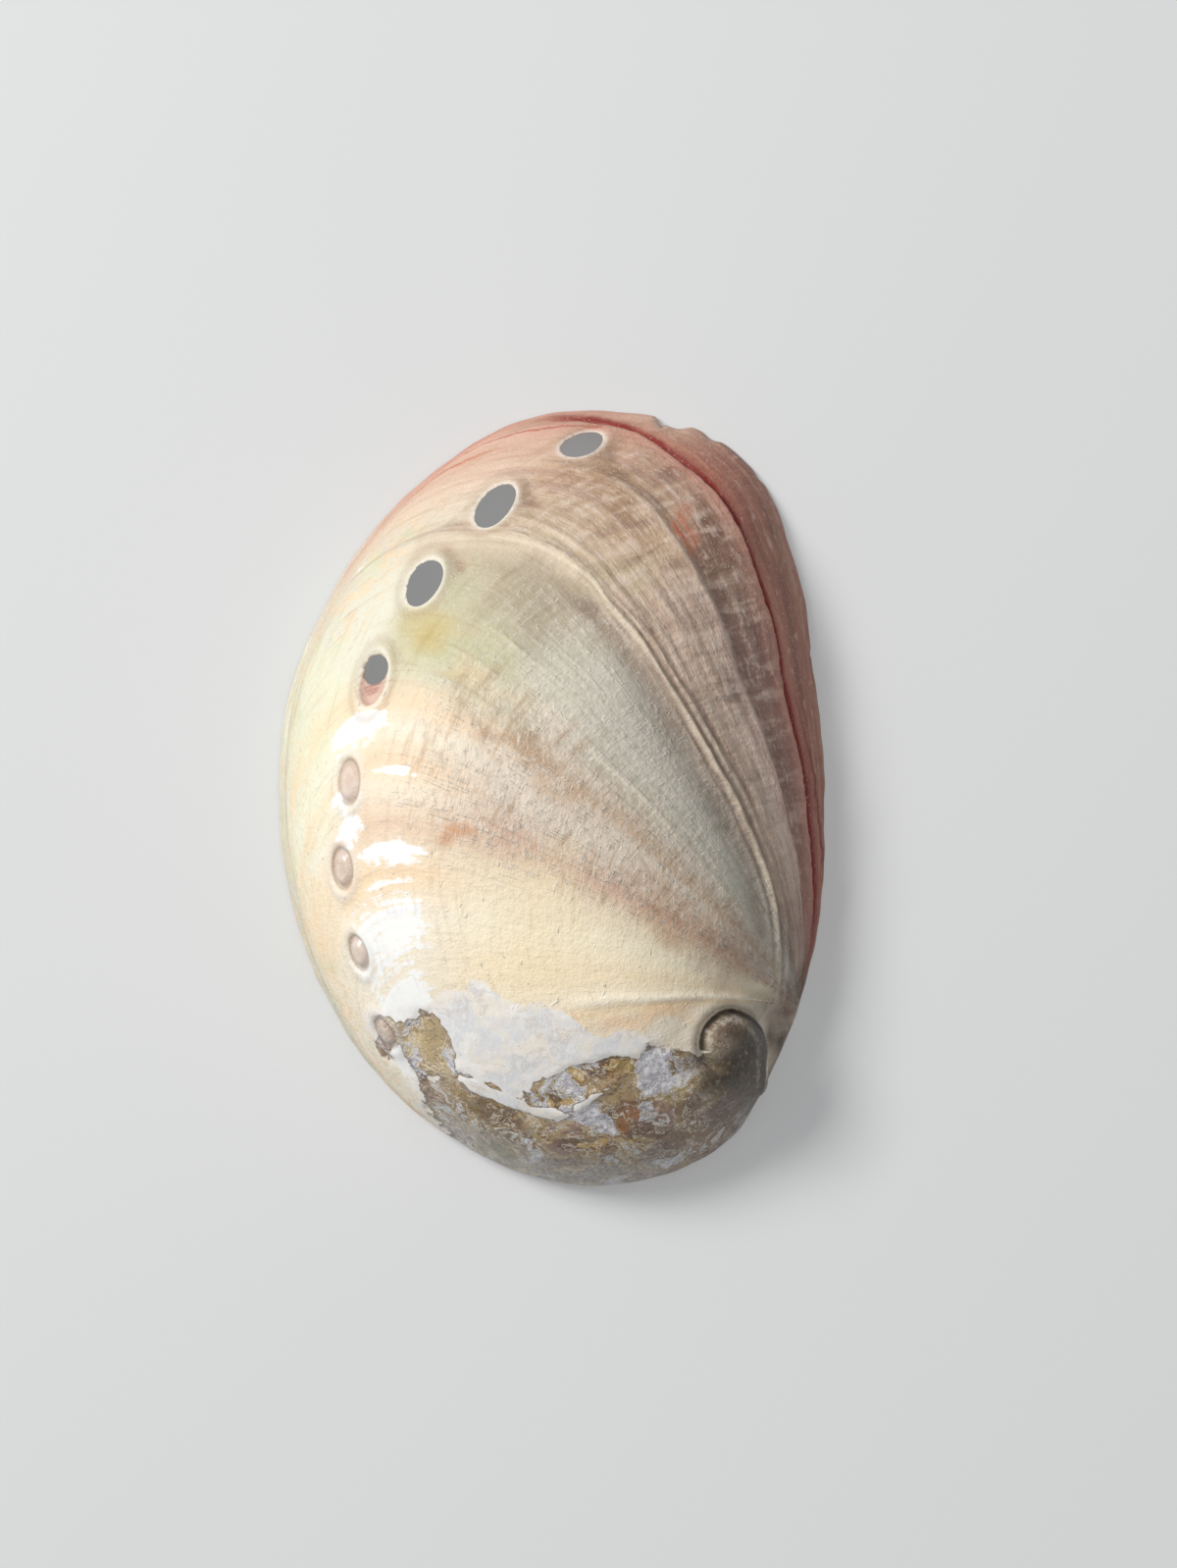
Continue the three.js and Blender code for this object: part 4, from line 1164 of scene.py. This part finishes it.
brown = wash(brown, specks.rise(0.08, 0.4) * 0.55, (222, 208, 186))
brown = wash(brown, specks.rise(-0.08, -0.35) * 0.8, (84, 66, 50))
WHITER = [
    ((12.6, -32.6), (3.4, 3.2), 0, 0.16), ((-11.5, -33.4), (2.6, 1.8), -40, 0.14),
    ((-5.2, -32.6), (7.6, 0.85), -20, 0.26), ((6.2, -37.4), (5.4, 1.0), -30, 0.24),
]
keep("whiter", sum(extra * oval(centre, half, turn) for centre, half, turn, extra in WHITER))
veins = veins + kept(paint, "whiter")
chips = veins.rise(0.14, 0.17)
lilac = blend(paint, (specks + fine * 0.6).rise(-0.3, 0.3), tint(190, 188, 198), tint(250, 250, 252))
keep("off_coil", 1 - oval((21.6, -30.6), (5.2, 6.8), 8))
off_coil = kept(paint, "off_coil")
brown = blend(paint, chips * 0.9 * off_coil, brown, lilac)
brown = wash(brown, (veins - 0.13).bell(0.022) * 0.85 * off_coil, (250, 246, 238))
brown = wash(brown, (veins + 0.02).bell(0.014) * 0.8 * off_coil, (246, 238, 224))
brown = wash(brown, (mottle - 0.26).bell(0.016) * 0.6 * off_coil, (240, 232, 220))
brown = wash(brown, (mottle + 0.12).bell(0.014) * 0.55, (78, 60, 44))
keep("rimed", oval((-3.0, -42.0), (15.0, 8.0), -8))
back_rim = kept(paint, "edge_gap").rise(5.4, 1.5) * kept(paint, "rimed")
brown = wash(brown, back_rim * (0.45 + specks * 1.1).at_least(0.0).at_most(1.0), (216, 217, 212))
brown = wash(brown, back_rim * mottle.rise(0.0, 0.3) * 0.6, (120, 120, 92))
# Painted shade in the groove round the coil, and a painted highlight along the coil's rounded rim just
# inside it.
brown = wash(brown, (coil_gap_p + 0.1).bell(0.4) * closed_p * 0.85, (52, 45, 38))
coil_rim_highlight = (coil_gap_p + 0.95).bell(0.22) * closed_p * (0.3 + fine * 0.9).at_least(0.0)
brown = wash(brown, coil_rim_highlight, (206, 200, 188))
colour = wash(colour, (eaten_gap - 0.55).bell(0.35) * eaten_rim * 0.6, (240, 238, 236))
colour = blend(paint, eaten_here, colour, brown)
colour = wash(colour, (eaten_gap - 0.05).bell(0.14) * eaten_rim * 0.6, (104, 84, 66))

# Pores: thin bright rims, pink-lined walls, pinkish plugs, a brown dimple in front.
pore, plug = kept(paint, "pore_gap"), kept(paint, "plug_gap")
colour = wash(colour, (pore - 0.2).bell(0.30) * 0.6, (240, 234, 222))
colour = wash(colour, (pore - 1.1).bell(0.5) * 0.25, (178, 152, 128))
colour = wash(colour, pore.rise(0.05, -0.3) * 0.9, (206, 176, 164))
septum = (pore + 0.9).rise(0.3, -0.3) * (lines * 2.0).rise(-0.1, 0.3)
colour = wash(colour, septum * 0.6, (168, 112, 104))
colour = wash(colour, plug.rise(0.1, -0.3) * 0.85, (206, 186, 174))
colour = wash(colour, (plug + 0.9).bell(0.35) * 0.5, (232, 214, 196))
colour = wash(colour, (plug + 0.05).bell(0.20) * 0.6, (150, 134, 120))
colour = wash(colour, (plug - 0.6).bell(0.45) * 0.35, (226, 226, 226))

# Fine marks over everything: growth lines, spirals, dust in pits.
sound_here = (1.0 - bare) * (1.0 - eaten_here)
colour = wash(colour, lines.rise(0.05, 0.5) * sound_here * 0.28, (206, 192, 172), "MULTIPLY")
colour = wash(colour, spirals.rise(0.05, 0.5) * sound_here * 0.30, (210, 194, 172), "MULTIPLY")
colour = wash(colour, fine.rise(0.1, 0.6) * sound_here * 0.22, (206, 190, 170), "MULTIPLY")
colour = wash(colour, dust.rise(0.15, 0.6) * sound_here * 0.3, (200, 184, 164), "MULTIPLY")
colour = wash(colour, dust.rise(-0.15, -0.55) * sound_here * 0.42, (244, 238, 226))

roughness = 0.60 + fine * 0.06 - bare * 0.30 - eaten_here * 0.14 - newest * 0.1
shallow = (old_lines * 0.4 + beads * 0.35) * middle + fine * 0.26 + dust * 0.2
shallow = shallow + lines * 0.3 * (0.1 + young) + spirals * 0.1 * (0.3 + young)
deep = chalky * marks * 0.16 + nicks * 0.35 + ruled * 0.3 + woven * (dashes * 0.45 - cord_rows * 0.7)
crumbled = specks * 0.5 + chips * 0.7 + islands.rise(0.16, 0.22) * 0.5 + mottle * 0.6
bump_height = (shallow + deep) * (1.0 - bare * 0.75) * (1.0 - eaten_here) + crumbled * eaten_here
bumped = {"Strength": 1.0, "Distance": 0.00022, "Height": bump_height}
bump = add_node(paint, "ShaderNodeBump", {}, bumped)
skin = add_node(paint, "ShaderNodeBsdfPrincipled", {}, {
    "Base Color": colour,
    "Roughness": roughness,
    "Coat Weight": bare * 0.5 + eaten_here * 0.2,
    "Coat Roughness": 0.22,
    "Specular IOR Level": 0.42,
    "Normal": bump,
})
add_node(paint, "ShaderNodeOutputMaterial", {}, {"Surface": skin})

# ------------------------------------------------------------------ the nacre
# Mother of pearl lining the hollow and the pores: thin plates of aragonite laid in
# waves, silver with pink, green and blue that follow its swells. Red-brown at the lip.
nacre = bpy.data.materials.new("nacre")
nacre.use_nodes = True
pearl = nacre.node_tree
pearl.nodes.clear()
spot = in_millimetres(pearl, add_node(pearl, "ShaderNodeTexCoord", out=3))
swell = grain(pearl, spot, 0.06, 2.0)
ripple = grain(pearl, spot, 0.30, 4.0)
sheen = grain(pearl, spot, 0.9, 4.0, 0.6)
growth_wave = (kept(pearl, "age") * 0.075 + swell * 2.4 + ripple * 0.12) * (2 * math.pi / 3.0)

# Pink, green and blue each take their own third of the wave.
THIRD = 2.1
rosy = growth_wave.wave().rise(0.0, 1.0) * 0.55
colour = blend(pearl, rosy, tint(226, 224, 219), tint(236, 204, 208))
colour = blend(pearl, (growth_wave + THIRD).wave().rise(0.1, 1.0) * 0.55, colour, tint(190, 218, 204))
colour = blend(pearl, (growth_wave + 2 * THIRD).wave().rise(0.3, 1.0) * 0.45, colour, tint(190, 204, 230))
fine_wave = (growth_wave * 3.0 + sheen * 1.4).wave().rise(0.2, 1.0)
colour = blend(pearl, fine_wave * 0.3, colour, tint(246, 240, 228))
colour = blend(pearl, ripple.rise(0.05, 0.5) * 0.45, colour, tint(244, 240, 236))

# The scar where the animal's muscle held on, and the red-brown rim under the lip.
keep("muscle_scar", oval((1.5, 0.5), (9.0, 11.5), -12, 0.4))
muscle_scar = kept(pearl, "muscle_scar")
colour = blend(pearl, muscle_scar * (0.35 + sheen * 0.6).at_least(0.0), colour, tint(208, 212, 194))
rim_gap = kept(pearl, "edge_gap") + ripple * 0.5
lip_brown = rim_gap.rise(2.4, 1.4) * kept(pearl, "cord").rise(-50.0, -20.0)
colour = blend(pearl, lip_brown * 0.85, colour, tint(150, 104, 84))
waves = ripple * 0.5 + growth_wave.wave() * 0.25 + muscle_scar * sheen * 0.5
bump = add_node(pearl, "ShaderNodeBump", {}, {"Strength": 0.35, "Distance": 0.0003, "Height": waves})
lining = add_node(pearl, "ShaderNodeBsdfPrincipled", {}, {
    "Base Color": colour,
    "Roughness": 0.22 + ripple * 0.04 + lip_brown * 0.3,
    "Metallic": 0.25 - lip_brown * 0.25,
    "Coat Weight": 0.8 - lip_brown * 0.6,
    "Coat Roughness": 0.12,
    "Thin Film Thickness": 420.0,
    "Thin Film IOR": 1.45,
    "Normal": bump,
})
add_node(pearl, "ShaderNodeOutputMaterial", {}, {"Surface": lining})

# The inside takes the nacre and the grown outer faces take the outer layer.
is_outer = on_shell("outer_face", "BOOLEAN")
done = add_node(relief, "GeometryNodeSetMaterial", {}, {"Geometry": realized, "Material": nacre})
outer_part = {"Geometry": done, "Selection": is_outer, "Material": outside}
done = add_node(relief, "GeometryNodeSetMaterial", {}, outer_part)
add_node(relief, "NodeGroupOutput", {}, {0: done})

grow = shell.modifiers.new("growth relief", "NODES")
grow.node_group = relief
for item in relief.interface.items_tree:
    if item.in_out == "INPUT" and item.name in RELIEF_SIZES:
        grow[item.identifier] = RELIEF_SIZES[item.name]
grown = bpy.data.meshes.new_from_object(shell.evaluated_get(bpy.context.evaluated_depsgraph_get()))
shell.modifiers.remove(grow)
shell.data = grown
shell.data.polygons.foreach_set("use_smooth", np.ones(len(shell.data.polygons), bool))
shell.name = shell.data.name = "abalone"

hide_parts("shell")
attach(shell, "root")

# ------------------------------------------------------------------ where it lies
# A plain pale surface, a hair below the margin, in soft light from the upper left, seen
# from straight above.
FLOOR_TOP = -2e-5
floor_corners = [(x, y, FLOOR_TOP) for x, y in ((-1, -1), (1, -1), (1, 1), (-1, 1))]
floor_mesh = bpy.data.meshes.new("floor")
floor_mesh.from_pydata(floor_corners, [], [(0, 1, 2, 3)])
floor = bpy.data.objects.new("floor", floor_mesh)
bpy.context.scene.collection.objects.link(floor)
pale = bpy.data.materials.new("pale_floor")
pale.use_nodes = True
pale_surface = pale.node_tree.nodes["Principled BSDF"].inputs
pale_surface["Base Color"].default_value = tint(186, 188, 189)
pale_surface["Roughness"].default_value = 0.7
pale_surface["Emission Color"].default_value = (0.98, 0.98, 0.98, 1.0)
pale_surface["Emission Strength"].default_value = 0.20
floor.data.materials.append(pale)

world = bpy.data.worlds.new("soft_room")
bpy.context.scene.world = world
world.use_nodes = True
room = world.node_tree.nodes["Background"].inputs
room["Color"].default_value = (0.96, 0.98, 1.0, 1.0)
room["Strength"].default_value = 0.23


def soft_light(name, place, size, watts, warmth):
    """A square lamp that faces the shell."""
    lamp = bpy.data.lights.new(name, "AREA")
    lamp.size = size
    lamp.energy = watts
    lamp.color = warmth
    holder = bpy.data.objects.new(name, lamp)
    holder.location = place
    holder.rotation_euler = (-Vector(place)).to_track_quat("-Z", "Y").to_euler()
    bpy.context.scene.collection.objects.link(holder)


soft_light("window", (-0.64, 0.42, 0.80), 0.36, 11.2, (1.0, 0.985, 0.96))
soft_light("room", (0.2, 0.1, 1.3), 1.2, 2.6, (1.0, 1.0, 1.0))

bpy.context.scene.view_settings.view_transform = "Standard"

eye = bpy.data.cameras.new("eye")
eye.sensor_fit = "VERTICAL"
eye.sensor_height = 24.0
eye.lens = 78.8
eye.clip_start = 0.01
view = bpy.data.objects.new("eye", eye)
view.location = (0.00423, 0.00166, 0.6)
bpy.context.scene.collection.objects.link(view)
bpy.context.scene.camera = view
